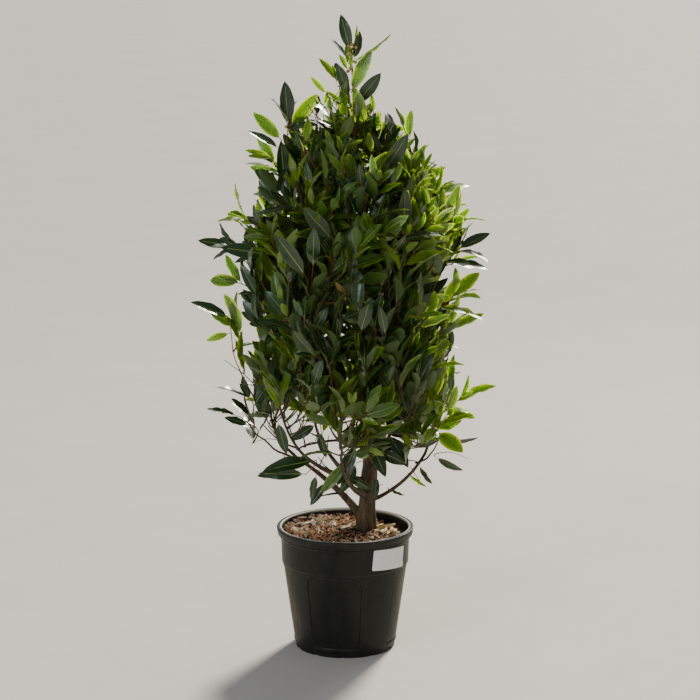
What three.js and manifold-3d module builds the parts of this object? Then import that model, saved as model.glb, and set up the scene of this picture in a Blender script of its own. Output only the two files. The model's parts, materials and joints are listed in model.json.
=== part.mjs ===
// Potted bay pyramid topiary, in millimetres, +Z up.
// The origin is the middle of the pot's flat underside. +X is the right and -Y the front.

import * as THREE from 'three';
import { mergeVertices } from 'three/addons/utils/BufferGeometryUtils.js';
import Module from 'manifold-3d';

const wasm = await Module();
wasm.setup();

// Pot

const POT_HEIGHT = 270;
const POT_SIDES = 36;
const RIM_RADIUS = 150;
const RIM_BAND = 17;
const MOUTH_RADIUS = 139.5;
const RIM_ROUNDING = 2;
const FOOT_RADIUS = 109.5;
const FOOT_HEIGHT = 13;
const WALL_FOOT_RADIUS = 112.5;
const STEP_HEIGHT = 191;
const STEP_RADIUS = 137.5;
const STEP_DEPTH = 1.4;
const BAND_TOP_RADIUS = 141;
const WALL = 3;
const FLOOR = 5;

const PANEL_COUNT = 4;
const PANEL_DEPTH = 1.5;
const PANEL_BOTTOM = 22;
const PANEL_TOP = 186;
const PANEL_HALF_ANGLE = THREE.MathUtils.degToRad(26.5);
const PANEL_CORNER = 26;
const PANEL_CUT = 8;
const PANEL_STEPS = 8;
const FIRST_PANEL = THREE.MathUtils.degToRad(259);

const LABEL_WIDTH = 94;
const LABEL_HEIGHT = 46;
const LABEL_THICKNESS = 0.8;
const LABEL_MIDDLE = 221.5;
const LABEL_TURN = THREE.MathUtils.degToRad(314.5);
const LABEL_TILT = THREE.MathUtils.degToRad(-4.6);
const LABEL_STEPS = 8;

// Soil

const SOIL_EDGE = 248;
const SOIL_MOUND = 5;
const SOIL_TILT = 12.2;
const SOIL_TILT_BACK = -4.2;
const SOIL_RINGS = 3;

// Trunk and limbs

const GAP = 0.3;
const TRUNK_FOOT = 238;
const TRUNK_TIP = 1095;
const TRUNK_FOOT_X = 44;
const TRUNK_FOOT_Y = 38;
const TRUNK_LEAN = 11;
const TRUNK_LEAN_TOP = 420;
const LEADER_BEND_START = 700;
const LEADER_BEND_END = 1250;
const LEADER_SHIFT_X = -41;
const LEADER_SHIFT_Y = -26;
const TRUNK_RADIUS = 18.5;
const TRUNK_TIP_RADIUS = 6;
const FLARE = 6;
const FLARE_HEIGHT = 60;
const FLARE_LOBES = 3;
const FLARE_LOBE_DEPTH = 0.16;
const TRUNK_RINGS = 13;
const TRUNK_SIDES = 10;
const TRUNK_CROWDING = 1.8;
const BOUGH_RINGS = 4;
const BOUGH_SIDES = 5;
const BOUGH_TIP_RADIUS = 3.4;
const BOUGH_BEND_OUT = 0.62;
const BOUGH_BEND_UP = 0.3;

// Crown: how far the leaves reach to the left and to the right at each height

const CROWN_OUTLINE = [
  { height: 330, left: 100, right: 120 },
  { height: 400, left: 185, right: 240 },
  { height: 470, left: 215, right: 275 },
  { height: 550, left: 285, right: 325 },
  { height: 640, left: 265, right: 297 },
  { height: 710, left: 265, right: 270 },
  { height: 790, left: 316, right: 302 },
  { height: 930, left: 302, right: 303 },
  { height: 1040, left: 222, right: 236 },
  { height: 1200, left: 150, right: 115 },
  { height: 1290, left: 62, right: 92 },
  { height: 1335, left: 32, right: 88 },
  { height: 1380, left: 16, right: 14 },
];
const CROWN_LOBE = 0.05;
const CROWN_LOBES = 3;
const CROWN_LOBE_TURN = 90;
const CROWN_SWEEP = 0.8;
const SPACE_GAP = 1.2;

// Each tier is a ring of sectors between two upward cones. The cones are named by their height on
// the crown's axis. A bough's root is a height on the trunk, and its tip lies at a distance from the
// axis. The shoots' ends are spread between two heights at the crown's surface.
const TIERS = [
  {
    name: 'low', sectors: 7, turn: 12, from: 0, to: 456, rootFrom: 322, rootTo: 400, tipFromAxis: 108,
    rise: 82, thickness: 8.5, surfaceFrom: 400, surfaceTo: 690, leaves: 21,
  },
  {
    name: 'middle', sectors: 6, turn: 8, from: 456, to: 690, rootFrom: 500, rootTo: 600, tipFromAxis: 100,
    rise: 92, thickness: 7.5, surfaceFrom: 675, surfaceTo: 930, leaves: 21,
  },
  {
    name: 'high', sectors: 5, turn: 5, from: 690, to: 1010, rootFrom: 740, rootTo: 860, tipFromAxis: 76,
    rise: 88, thickness: 6.2, surfaceFrom: 910, surfaceTo: 1150, leaves: 20,
  },
];
const LEADER_CONE = 1010;
const LEFT_STEM = { root: 264, tipFromAxis: 106, rise: 150, thickness: 10.5, bendOut: 0.3, bendUp: 0.5 };
const RIGHT_BRANCH = { root: 312, tipFromAxis: 165, rise: 88, thickness: 4.4 };
const LEFT_SECTOR = 3;
const RIGHT_SECTOR = 0;

// Foliage

const STEM_SIDES = 3;
const STEM_RADIUS = 3.4;
const STEM_TIP_RADIUS = 2.4;
const SHOOT_RADIUS = 2.6;
const SHOOT_RINGS = 2;
const STEM_RINGS = 3;
const STEM_REACH = 0.62;
const STEM_RISE = 0.55;
const STEM_ONWARD = 0.45;
const STEM_LEAVES = 3;
const STEM_LEAVES_FROM = 0.7;
const TWIG_BEND_OUT = 0.7;
const TWIG_BEND_UP = 0.3;
const SHOOT_INSET = 62;
const SHOOT_TRIES = 90;
const SHOOTS_FROM = 0.1;
const SHOOTS_TO = 0.9;
const SHOOT_LEAVES_FROM = 0.25;
// Steps of an even, never repeating spread over a square
const SPREAD_ACROSS = 0.7549;
const SPREAD_UP = 0.5698;
const LEAVES_ON_SHOOT = 6;
const LEAVES_NEEDED = 3;
const LEAF_LENGTH = 136;
const LEAF_WIDTH = 56;
const LEAF_THICKNESS = 4;
const LEAF_FOLD = 3.5;
const LEAF_WIDEST = 0.42;
const LEAF_LEAN = THREE.MathUtils.degToRad(50);
const LEAF_LEAN_SPREAD = 0.15;
const END_LEAF_LEAN = 0.12;
const END_LEAF_AT = 0.98;
const LEAF_SIZES = [1, 0.85, 0.7, 0.6, 0.5];
const LEAF_SAMPLES = 8;
const LEAF_ROOT_SAMPLES = 6;
const LEAF_CLEARANCE = 7;
const TWIG_SAMPLES = 12;
const LIMB_CLEARANCE = 3;
const TRUNK_BALLS = 120;
const BOUGH_BALLS = 24;
const GOLDEN_ANGLE = THREE.MathUtils.degToRad(137.5);
const GOLDEN_SHARE = 0.618;
const SEED = 58;

const LEADER_TOP = new THREE.Vector3(14, 6, 1284);
const LEADER_LEAVES = 12;
const LEADER_LEAVES_FROM = 0.25;
const LEADER_SHOOTS = 8;
const LEADER_SHOOTS_FROM = 0.02;
const LEADER_SHOOTS_SPAN = 0.7;
const LEADER_SHOOT_LEAVES_FROM = 0.5;
const LEADER_SHOOT_OUT = 76;
const LEADER_SHOOT_UP = 66;
const LEADER_NARROWING = 0.6;
const BUD_RADIUS = 4.5;
const BUD_COUNT = 6;
const BUDS_FROM = 0.35;
const BUDS_SPAN = 0.6;

const UP = new THREE.Vector3(0, 0, 1);

// Small tools

function makeRandom(seed) {
  let state = seed;
  return () => {
    state = (state * 16807) % 2147483647;
    return state / 2147483647;
  };
}

function smoothStep(from, to, value) {
  const share = THREE.MathUtils.clamp((value - from) / (to - from), 0, 1);
  return share * share * (3 - 2 * share);
}

function around(turn) {
  return new THREE.Vector3(Math.cos(turn), Math.sin(turn), 0);
}

// A closed geometry becomes a solid once its shared vertices are merged and collapsed faces dropped.
function solidOf(geometry) {
  const bare = geometry.clone();
  bare.deleteAttribute('normal');
  bare.deleteAttribute('uv');
  const merged = mergeVertices(bare, 1e-4);
  const index = merged.getIndex().array;
  const faces = [];
  for (let i = 0; i < index.length; i += 3) {
    const [a, b, c] = [index[i], index[i + 1], index[i + 2]];
    if (a !== b && b !== c && a !== c) {
      faces.push(a, b, c);
    }
  }
  const vertProperties = Float32Array.from(merged.getAttribute('position').array);
  const triVerts = Uint32Array.from(faces);
  const solid = new wasm.Manifold(new wasm.Mesh({ numProp: 3, vertProperties, triVerts }));
  return solid.volume() < 0 ? flipped(vertProperties, faces) : solid;
}

function flipped(vertProperties, faces) {
  const turned = [];
  for (let i = 0; i < faces.length; i += 3) {
    turned.push(faces[i], faces[i + 2], faces[i + 1]);
  }
  return new wasm.Manifold(new wasm.Mesh({ numProp: 3, vertProperties, triVerts: Uint32Array.from(turned) }));
}

function geometryOf(solid) {
  const { vertProperties, triVerts } = solid.getMesh();
  const geometry = new THREE.BufferGeometry();
  geometry.setAttribute('position', new THREE.Float32BufferAttribute(vertProperties, 3));
  geometry.setIndex(Array.from(triVerts));
  geometry.computeVertexNormals();
  return geometry;
}

// Scraps and sealed hollows come apart as bodies of their own, so the largest body is the whole piece.
function mainBody(solid) {
  const bodies = solid.decompose();
  return bodies.reduce((best, body) => (body.volume() > best.volume() ? body : best));
}

function moveVertices(geometry, place) {
  const position = geometry.getAttribute('position');
  const point = new THREE.Vector3();
  for (let i = 0; i < position.count; i++) {
    point.fromBufferAttribute(position, i);
    const moved = place(point);
    position.setXYZ(i, moved.x, moved.y, moved.z);
  }
  return geometry;
}

// A profile of [radius, height] pairs turned round the Z axis.
function turned(profile, sides) {
  const points = profile.map(([radius, height]) => new THREE.Vector2(radius, height));
  return new THREE.LatheGeometry(points, sides).rotateX(Math.PI / 2);
}

// Pot, label and soil

function wallRadius(height) {
  if (height < STEP_HEIGHT) {
    const share = (height - FOOT_HEIGHT) / (STEP_HEIGHT - FOOT_HEIGHT);
    return THREE.MathUtils.lerp(WALL_FOOT_RADIUS, STEP_RADIUS, share);
  }
  const share = (height - STEP_HEIGHT) / (POT_HEIGHT - RIM_BAND - STEP_HEIGHT);
  return THREE.MathUtils.lerp(STEP_RADIUS + STEP_DEPTH, BAND_TOP_RADIUS, share);
}

function insideRadius(height) {
  return Math.min(wallRadius(Math.max(height, FOOT_HEIGHT)) - WALL, MOUTH_RADIUS);
}

function makePot() {
  const rimBottom = POT_HEIGHT - RIM_BAND;
  const shell = turned([
    [0, 0],
    [FOOT_RADIUS, 0],
    [FOOT_RADIUS, FOOT_HEIGHT],
    [WALL_FOOT_RADIUS, FOOT_HEIGHT],
    [STEP_RADIUS, STEP_HEIGHT],
    [STEP_RADIUS + STEP_DEPTH, STEP_HEIGHT + STEP_DEPTH],
    [BAND_TOP_RADIUS, rimBottom],
    [RIM_RADIUS - RIM_ROUNDING, rimBottom],
    [RIM_RADIUS, rimBottom + RIM_ROUNDING],
    [RIM_RADIUS, POT_HEIGHT - RIM_ROUNDING],
    [RIM_RADIUS - RIM_ROUNDING, POT_HEIGHT],
    [MOUTH_RADIUS, POT_HEIGHT],
    [insideRadius(rimBottom), rimBottom],
    [insideRadius(STEP_HEIGHT), STEP_HEIGHT],
    [FOOT_RADIUS - WALL, FLOOR],
    [0, FLOOR],
  ], POT_SIDES);
  let pot = solidOf(shell);
  for (let i = 0; i < PANEL_COUNT; i++) {
    pot = pot.subtract(solidOf(makePanelCutter(FIRST_PANEL + (i * 2 * Math.PI) / PANEL_COUNT)));
  }
  return geometryOf(pot);
}

// The shallow arch that is sunk in the wall: a box whose top edge follows rounded corners.
function makePanelCutter(turn) {
  const box = new THREE.BoxGeometry(2 * PANEL_HALF_ANGLE, 1, 1, PANEL_STEPS, 1, 1);
  return moveVertices(box, (point) => {
    const fromEdge = (PANEL_HALF_ANGLE - Math.abs(point.x)) * STEP_RADIUS;
    const inCorner = THREE.MathUtils.clamp(PANEL_CORNER - fromEdge, 0, PANEL_CORNER);
    const top = PANEL_TOP - PANEL_CORNER + Math.sqrt(PANEL_CORNER ** 2 - inCorner ** 2);
    const height = THREE.MathUtils.lerp(PANEL_BOTTOM, top, point.y + 0.5);
    const radius = wallRadius(height) - PANEL_DEPTH + (point.z + 0.5) * PANEL_CUT;
    return around(turn + point.x).multiplyScalar(radius).setZ(height);
  });
}

function makeLabel() {
  const plate = new THREE.BoxGeometry(LABEL_WIDTH, LABEL_HEIGHT, LABEL_THICKNESS, LABEL_STEPS, 1, 1);
  plate.rotateZ(LABEL_TILT);
  return moveVertices(plate, (point) => {
    const height = LABEL_MIDDLE + point.y;
    const radius = wallRadius(height) + GAP + LABEL_THICKNESS / 2 + point.z;
    return around(LABEL_TURN + point.x / wallRadius(LABEL_MIDDLE)).multiplyScalar(radius).setZ(height);
  });
}

// The soil is higher at the back left and lower on the right.
function soilHeight(x, y) {
  const share = 1 - Math.hypot(x, y) / MOUTH_RADIUS;
  return SOIL_EDGE + SOIL_MOUND * share - (SOIL_TILT * x + SOIL_TILT_BACK * y) / MOUTH_RADIUS;
}

function makeSoil(grownTrunk) {
  const edge = insideRadius(SOIL_EDGE) - 4 * GAP;
  const profile = [
    [0, FLOOR + GAP],
    [FOOT_RADIUS - WALL - GAP, FLOOR + GAP],
    [insideRadius(STEP_HEIGHT) - 2 * GAP, STEP_HEIGHT],
    [edge, SOIL_EDGE],
  ];
  for (let i = 1; i < SOIL_RINGS; i++) {
    profile.push([edge * (1 - i / SOIL_RINGS), SOIL_EDGE]);
  }
  profile.push([0, SOIL_EDGE]);
  const heap = moveVertices(turned(profile, POT_SIDES), (point) => {
    if (point.z < SOIL_EDGE - 1) {
      return point;
    }
    return point.setZ(soilHeight(point.x, point.y));
  });
  return geometryOf(mainBody(solidOf(heap).subtract(grownTrunk)));
}

// Trunk and boughs

function trunkCentre(height) {
  const bend = smoothStep(LEADER_BEND_START, LEADER_BEND_END, height);
  const lean = smoothStep(TRUNK_FOOT, TRUNK_LEAN_TOP, height);
  const x = TRUNK_FOOT_X + TRUNK_LEAN * lean + LEADER_SHIFT_X * bend;
  const y = TRUNK_FOOT_Y + LEADER_SHIFT_Y * bend;
  return new THREE.Vector3(x, y, height);
}

function trunkRadius(height, turn = 0) {
  const share = (height - TRUNK_FOOT) / (TRUNK_TIP - TRUNK_FOOT);
  const flare = Math.exp((TRUNK_FOOT - height) / FLARE_HEIGHT);
  const lobes = 1 + FLARE_LOBE_DEPTH * flare * Math.cos(FLARE_LOBES * turn);
  return (THREE.MathUtils.lerp(TRUNK_RADIUS, TRUNK_TIP_RADIUS, share) + FLARE * flare) * lobes;
}

// Level sections keep the cut at the foot flat. Grown by a gap, the same solid cuts its neighbours.
function makeTrunk(grown = 0) {
  const foot = TRUNK_FOOT - grown;
  const tip = TRUNK_TIP + grown;
  const profile = [[0, foot]];
  for (let i = 0; i <= TRUNK_RINGS; i++) {
    profile.push([1, THREE.MathUtils.lerp(foot, tip, (i / TRUNK_RINGS) ** TRUNK_CROWDING)]);
  }
  profile.push([0, tip]);
  return moveVertices(turned(profile, TRUNK_SIDES), (point) => {
    const outward = new THREE.Vector3(point.x, point.y, 0);
    const turn = Math.atan2(point.y, point.x);
    outward.multiplyScalar(trunkRadius(point.z, turn) + grown);
    return trunkCentre(point.z).add(outward);
  });
}

// A tapering limb along a curve, with flat ends.
function makeLimb(curve, fromRadius, toRadius, rings, sides) {
  const profile = [[0, 0]];
  for (let i = 0; i <= rings; i++) {
    profile.push([THREE.MathUtils.lerp(fromRadius, toRadius, i / rings), i / rings]);
  }
  profile.push([0, 1]);
  return moveVertices(turned(profile, sides), (point) => {
    const along = curve.getTangent(point.z);
    const side = new THREE.Vector3().crossVectors(along, sideways(along)).normalize();
    const top = new THREE.Vector3().crossVectors(along, side);
    return curve.getPoint(point.z).addScaledVector(side, point.x).addScaledVector(top, point.y);
  });
}

function sideways(along) {
  return Math.abs(along.z) < 0.9 ? UP : new THREE.Vector3(0, 1, 0);
}

// A row of balls along a limb stands for it in tests of distance.
function ballsAlong(pointAt, radiusAt, count) {
  const balls = [];
  for (let i = 0; i <= count; i++) {
    balls.push({ centre: pointAt(i / count), radius: radiusAt(i / count) });
  }
  return balls;
}

function boughPlan(tier, sector) {
  const special = tier.name === 'low' && { [LEFT_SECTOR]: LEFT_STEM, [RIGHT_SECTOR]: RIGHT_BRANCH }[sector];
  const share = (sector * GOLDEN_SHARE) % 1;
  const root = special ? special.root : THREE.MathUtils.lerp(tier.rootFrom, tier.rootTo, share);
  const { tipFromAxis, rise, thickness } = special || tier;
  const { bendOut = BOUGH_BEND_OUT, bendUp = BOUGH_BEND_UP } = special || tier;
  const start = trunkCentre(root);
  const end = around(sectorMiddle(tier, sector)).multiplyScalar(tipFromAxis).setZ(root + rise);
  const middle = start.clone().lerp(end, bendOut).setZ(root + bendUp * rise);
  return { curve: new THREE.QuadraticBezierCurve3(start, middle, end), thickness };
}

function makeBough(plan, grownTrunk) {
  const solid = solidOf(makeLimb(plan.curve, plan.thickness, BOUGH_TIP_RADIUS, BOUGH_RINGS, BOUGH_SIDES));
  return mainBody(solid.subtract(grownTrunk));
}

// Crown spaces

function outlineAt(height, side) {
  const last = CROWN_OUTLINE.length - 1;
  if (height <= CROWN_OUTLINE[0].height || height >= CROWN_OUTLINE[last].height) {
    return 0;
  }
  const upper = CROWN_OUTLINE.findIndex((knot) => knot.height > height);
  const [below, above] = [CROWN_OUTLINE[upper - 1], CROWN_OUTLINE[upper]];
  const share = (height - below.height) / (above.height - below.height);
  return THREE.MathUtils.lerp(below[side], above[side], share);
}

function crownReach(height, turn) {
  const rightShare = (1 + Math.cos(turn)) / 2;
  const reach = THREE.MathUtils.lerp(outlineAt(height, 'left'), outlineAt(height, 'right'), rightShare);
  const depthShare = Math.sin(turn) ** 2;
  return reach * (1 + CROWN_LOBE * depthShare * Math.sin(CROWN_LOBES * turn + height / CROWN_LOBE_TURN));
}

function sectorMiddle(tier, sector) {
  return THREE.MathUtils.degToRad(tier.turn + (sector * 360) / tier.sectors);
}

// A sector's space, as a test of a point.
function sectorSpace(tier, sector) {
  const middle = sectorMiddle(tier, sector);
  const half = Math.PI / tier.sectors;
  const leftEdge = around(middle + half - Math.PI / 2);
  const rightEdge = around(middle - half + Math.PI / 2);
  return (point) => {
    const level = point.z - CROWN_SWEEP * Math.hypot(point.x, point.y);
    return level > tier.from + SPACE_GAP
      && level < tier.to - SPACE_GAP
      && point.dot(leftEdge) > SPACE_GAP
      && point.dot(rightEdge) > SPACE_GAP
      && withinCrown(point);
  };
}

function leaderSpace(point) {
  const level = point.z - CROWN_SWEEP * Math.hypot(point.x, point.y);
  return level > LEADER_CONE + SPACE_GAP && withinCrown(point);
}

function withinCrown(point) {
  return Math.hypot(point.x, point.y) < crownReach(point.z, Math.atan2(point.y, point.x));
}

// Foliage

// An octahedron drawn out to a folded blade: its root is the first corner and its tip the last.
function makeLeaf(root, along, face, length) {
  const scale = length / LEAF_LENGTH;
  const across = new THREE.Vector3().crossVectors(along, face).normalize();
  return moveVertices(new THREE.OctahedronGeometry(1), (point) => {
    const distance = point.x < 0 ? LEAF_WIDEST * (1 + point.x) : LEAF_WIDEST + (1 - LEAF_WIDEST) * point.x;
    const lift = Math.abs(point.y) * LEAF_FOLD + (point.z * LEAF_THICKNESS) / 2;
    return root.clone()
      .addScaledVector(along, distance * length)
      .addScaledVector(across, (point.y * LEAF_WIDTH * scale) / 2)
      .addScaledVector(face, lift * scale);
  });
}

// Points spread over a leaf's blade, from near its root to its tip.
function leafSamples(root, along, face, length) {
  const across = new THREE.Vector3().crossVectors(along, face).normalize();
  const halfWidth = ((length / LEAF_LENGTH) * LEAF_WIDTH) / 2;
  const samples = [];
  for (let i = 1; i <= LEAF_SAMPLES; i++) {
    const distance = i / LEAF_SAMPLES;
    const fullness = distance < LEAF_WIDEST ? distance / LEAF_WIDEST : (1 - distance) / (1 - LEAF_WIDEST);
    for (const side of [-1, 0, 1]) {
      samples.push(root.clone()
        .addScaledVector(along, distance * length)
        .addScaledVector(across, side * halfWidth * fullness)
        .addScaledVector(face, Math.abs(side) * LEAF_FOLD * fullness));
    }
  }
  return samples;
}

function touchesLimb(point, balls, clearance) {
  return balls.some((ball) => ball.centre.distanceTo(point) < ball.radius + clearance);
}

function nearAny(point, others, clearance) {
  return others.some((other) => other.distanceToSquared(point) < clearance ** 2);
}

// One mass under growth: it keeps its solids, and the points that its leaves and twigs take up.
class Mass {
  constructor(inside, balls, random) {
    this.inside = inside;
    this.balls = balls;
    this.random = random;
    this.solids = [];
    this.taken = [];
    this.leafCount = 0;
    this.roll = random() * 2 * Math.PI;
  }

  addTwig(curve, fromRadius, toRadius, rings) {
    this.solids.push(solidOf(makeLimb(curve, fromRadius, toRadius, rings, STEM_SIDES)));
    this.taken.push(...curve.getPoints(TWIG_SAMPLES));
  }

  isFree(point, clearance) {
    return this.inside(point) && !touchesLimb(point, this.balls, clearance);
  }

  // The first part of a shoot lies along its stem, so only the rest has to stay clear of the leaves.
  twigIsClear(curve, radius) {
    const points = curve.getPoints(TWIG_SAMPLES).slice(1);
    const free = points.every((point) => this.isFree(point, radius + LIMB_CLEARANCE));
    return free && points.slice(2).every((point) => !nearAny(point, this.taken, LEAF_CLEARANCE));
  }

  // The largest leaf that stays in the space, clear of the limbs and of the other leaves.
  findLeaf(root, axis, lean, taken) {
    this.roll += GOLDEN_ANGLE;
    const side = new THREE.Vector3().crossVectors(axis, sideways(axis)).normalize();
    const radial = side.applyAxisAngle(axis, this.roll);
    const along = axis.clone().multiplyScalar(Math.cos(lean)).addScaledVector(radial, Math.sin(lean));
    along.normalize();
    const face = axis.clone().addScaledVector(along, -axis.dot(along)).normalize();
    for (const size of LEAF_SIZES) {
      const length = LEAF_LENGTH * size;
      const samples = leafSamples(root, along, face, length);
      const blade = samples.slice(LEAF_ROOT_SAMPLES);
      const fits = samples.every((point) => this.isFree(point, LIMB_CLEARANCE));
      if (fits && blade.every((point) => !nearAny(point, taken, LEAF_CLEARANCE))) {
        return { blade, geometry: makeLeaf(root, along, face, length) };
      }
    }
    return null;
  }

  // Adds leaves along a curve where at least as many as needed find room, and says whether it did.
  addLeavesAlong(curve, count, from, needed = 0) {
    const found = [];
    for (let i = 0; i < count; i++) {
      const share = THREE.MathUtils.lerp(from, END_LEAF_AT, i / (count - 1));
      const spread = 1 + LEAF_LEAN_SPREAD * (2 * this.random() - 1);
      const lean = LEAF_LEAN * (i === count - 1 ? END_LEAF_LEAN : spread);
      const taken = [...this.taken, ...found.flatMap((leaf) => leaf.blade)];
      const leaf = this.findLeaf(curve.getPoint(share), curve.getTangent(share), lean, taken);
      if (leaf) {
        found.push(leaf);
      }
    }
    if (found.length < needed) {
      return false;
    }
    for (const leaf of found) {
      this.taken.push(...leaf.blade);
      this.solids.push(solidOf(leaf.geometry));
    }
    this.leafCount += found.length;
    return true;
  }

  addShoot(curve, from) {
    const clear = this.twigIsClear(curve, SHOOT_RADIUS);
    if (clear && this.addLeavesAlong(curve, LEAVES_ON_SHOOT, from, LEAVES_NEEDED)) {
      this.addTwig(curve, SHOOT_RADIUS, 0, SHOOT_RINGS);
    }
  }

  fused() {
    return mainBody(this.solids.reduce((whole, solid) => whole.add(solid)));
  }
}

// A twig leaves its parent outwards and ends upright.
function risingCurve(start, end) {
  const middle = start.clone().lerp(end, TWIG_BEND_OUT);
  middle.z = THREE.MathUtils.lerp(start.z, end.z, TWIG_BEND_UP);
  return new THREE.QuadraticBezierCurve3(start, middle, end);
}

// The stem carries straight on from its bough, a gap away from the bough's tip.
function stemPlan(tier, sector, boughCurve) {
  const turn = sectorMiddle(tier, sector);
  const onward = boughCurve.getTangent(1);
  const start = boughCurve.getPoint(1).addScaledVector(onward, GAP);
  const height = THREE.MathUtils.lerp(tier.surfaceFrom, tier.surfaceTo, STEM_RISE);
  const end = around(turn).multiplyScalar(crownReach(height, turn) * STEM_REACH).setZ(height);
  const middle = start.clone().addScaledVector(onward, start.distanceTo(end) * STEM_ONWARD);
  return new THREE.QuadraticBezierCurve3(start, middle, end);
}

// Shoots run from the stem to ends spread evenly over the sector's part of the crown's surface.
function shootPlan(tier, sector, stem, number) {
  const across = (sector * GOLDEN_SHARE + number * SPREAD_ACROSS) % 1;
  const upward = (number * SPREAD_UP) % 1;
  const turn = sectorMiddle(tier, sector) + (Math.PI / tier.sectors) * (2 * across - 1);
  const height = THREE.MathUtils.lerp(tier.surfaceFrom, tier.surfaceTo, upward);
  const reach = Math.max(crownReach(height, turn) - SHOOT_INSET, SHOOT_INSET);
  const end = around(turn).multiplyScalar(reach).setZ(height - SHOOT_INSET / 2);
  return risingCurve(stem.getPoint(THREE.MathUtils.lerp(SHOOTS_FROM, SHOOTS_TO, upward)), end);
}

function makeFoliage(tier, sector, boughCurve, balls, seed) {
  const mass = new Mass(sectorSpace(tier, sector), balls, makeRandom(seed));
  const stem = stemPlan(tier, sector, boughCurve);
  mass.addTwig(stem, STEM_RADIUS, STEM_TIP_RADIUS, STEM_RINGS);
  mass.addLeavesAlong(stem, STEM_LEAVES, STEM_LEAVES_FROM);
  for (let number = 1; number <= SHOOT_TRIES && mass.leafCount < tier.leaves; number++) {
    mass.addShoot(shootPlan(tier, sector, stem, number), SHOOT_LEAVES_FROM);
  }
  return mass.fused();
}

// The leader goes on above the trunk's tip, with leaves and buds to the top of the crown.
function makeLeaderFoliage(balls, seed) {
  const mass = new Mass(leaderSpace, balls, makeRandom(seed));
  const start = trunkCentre(TRUNK_TIP + GAP);
  const above = start.clone().addScaledVector(UP, 0.5 * (LEADER_TOP.z - start.z));
  const leader = new THREE.QuadraticBezierCurve3(start, above, LEADER_TOP);
  mass.addTwig(leader, STEM_RADIUS, STEM_TIP_RADIUS, STEM_RINGS);
  for (let i = 0; i < LEADER_SHOOTS; i++) {
    const share = i / LEADER_SHOOTS;
    const root = leader.getPoint(LEADER_SHOOTS_FROM + LEADER_SHOOTS_SPAN * share);
    const reach = LEADER_SHOOT_OUT * (1 - LEADER_NARROWING * share);
    const outward = around(i * GOLDEN_ANGLE).multiplyScalar(reach);
    const end = root.clone().add(outward).addScaledVector(UP, LEADER_SHOOT_UP);
    mass.addShoot(risingCurve(root, end), LEADER_SHOOT_LEAVES_FROM);
  }
  mass.addLeavesAlong(leader, LEADER_LEAVES, LEADER_LEAVES_FROM);
  for (let i = 0; i < BUD_COUNT; i++) {
    const share = BUDS_FROM + (BUDS_SPAN * i) / BUD_COUNT;
    const bud = new THREE.OctahedronGeometry(BUD_RADIUS);
    const side = around(i * GOLDEN_ANGLE).multiplyScalar(STEM_RADIUS);
    bud.translate(...leader.getPoint(share).add(side).toArray());
    mass.solids.push(solidOf(bud));
  }
  return mass.fused();
}

// Assembly

const paint = (color, roughness) => new THREE.MeshStandardMaterial({ color, roughness, metalness: 0 });
const BLACK_PLASTIC = paint(0x2a2a2b, 0.45);
const LABEL_PAPER = paint(0xe9e9e4, 0.6);
const BARK_MULCH = paint(0x6b4a35, 0.95);
const BARK = paint(0x6d5f50, 0.85);
const LEAVES = paint(0x4a6b3a, 0.45);

function addMesh(group, name, geometry, material) {
  const mesh = new THREE.Mesh(geometry, material);
  mesh.name = name;
  group.add(mesh);
}

function makePlant() {
  const plant = new THREE.Group();
  const grownTrunk = solidOf(makeTrunk(GAP));
  const trunkHeight = (share) => THREE.MathUtils.lerp(TRUNK_FOOT, TRUNK_TIP, share);
  const trunkPoint = (share) => trunkCentre(trunkHeight(share));
  const balls = ballsAlong(trunkPoint, (share) => trunkRadius(trunkHeight(share)), TRUNK_BALLS);
  addMesh(plant, 'trunk', geometryOf(solidOf(makeTrunk())), BARK);

  const sectors = [];
  for (const tier of TIERS) {
    for (let sector = 0; sector < tier.sectors; sector++) {
      const plan = boughPlan(tier, sector);
      const size = (share) => THREE.MathUtils.lerp(plan.thickness, BOUGH_TIP_RADIUS, share);
      balls.push(...ballsAlong((share) => plan.curve.getPoint(share), size, BOUGH_BALLS));
      addMesh(plant, `bough_${tier.name}_${sector + 1}`, geometryOf(makeBough(plan, grownTrunk)), BARK);
      sectors.push({ tier, sector, plan });
    }
  }
  sectors.forEach(({ tier, sector, plan }, number) => {
    const ownEnd = plan.curve.getPoint(1);
    const others = balls.filter((ball) => ball.centre.distanceTo(ownEnd) > 2 * BOUGH_TIP_RADIUS);
    const foliage = makeFoliage(tier, sector, plan.curve, others, SEED + number);
    addMesh(plant, `foliage_${tier.name}_${sector + 1}`, geometryOf(foliage), LEAVES);
  });
  const trunkEnd = trunkCentre(TRUNK_TIP);
  const belowLeader = balls.filter((ball) => ball.centre.distanceTo(trunkEnd) > 3 * TRUNK_TIP_RADIUS);
  const leader = makeLeaderFoliage(belowLeader, SEED + sectors.length);
  addMesh(plant, 'foliage_leader', geometryOf(leader), LEAVES);

  addMesh(plant, 'pot', makePot(), BLACK_PLASTIC);
  addMesh(plant, 'label', geometryOf(solidOf(makeLabel())), LABEL_PAPER);
  addMesh(plant, 'soil', makeSoil(grownTrunk), BARK_MULCH);
  return plant;
}

export default makePlant();
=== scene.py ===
# Potted bay pyramid topiary: the looks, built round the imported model, in metres, +Z up.
# The origin is the middle of the pot's flat underside. +X is the right and -Y the front.

import json
import math

import bpy
import numpy as np
from bpy.props import FloatProperty, FloatVectorProperty, IntProperty, PointerProperty
from bpy.types import Operator, Panel, PropertyGroup
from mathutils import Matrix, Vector, noise

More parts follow.
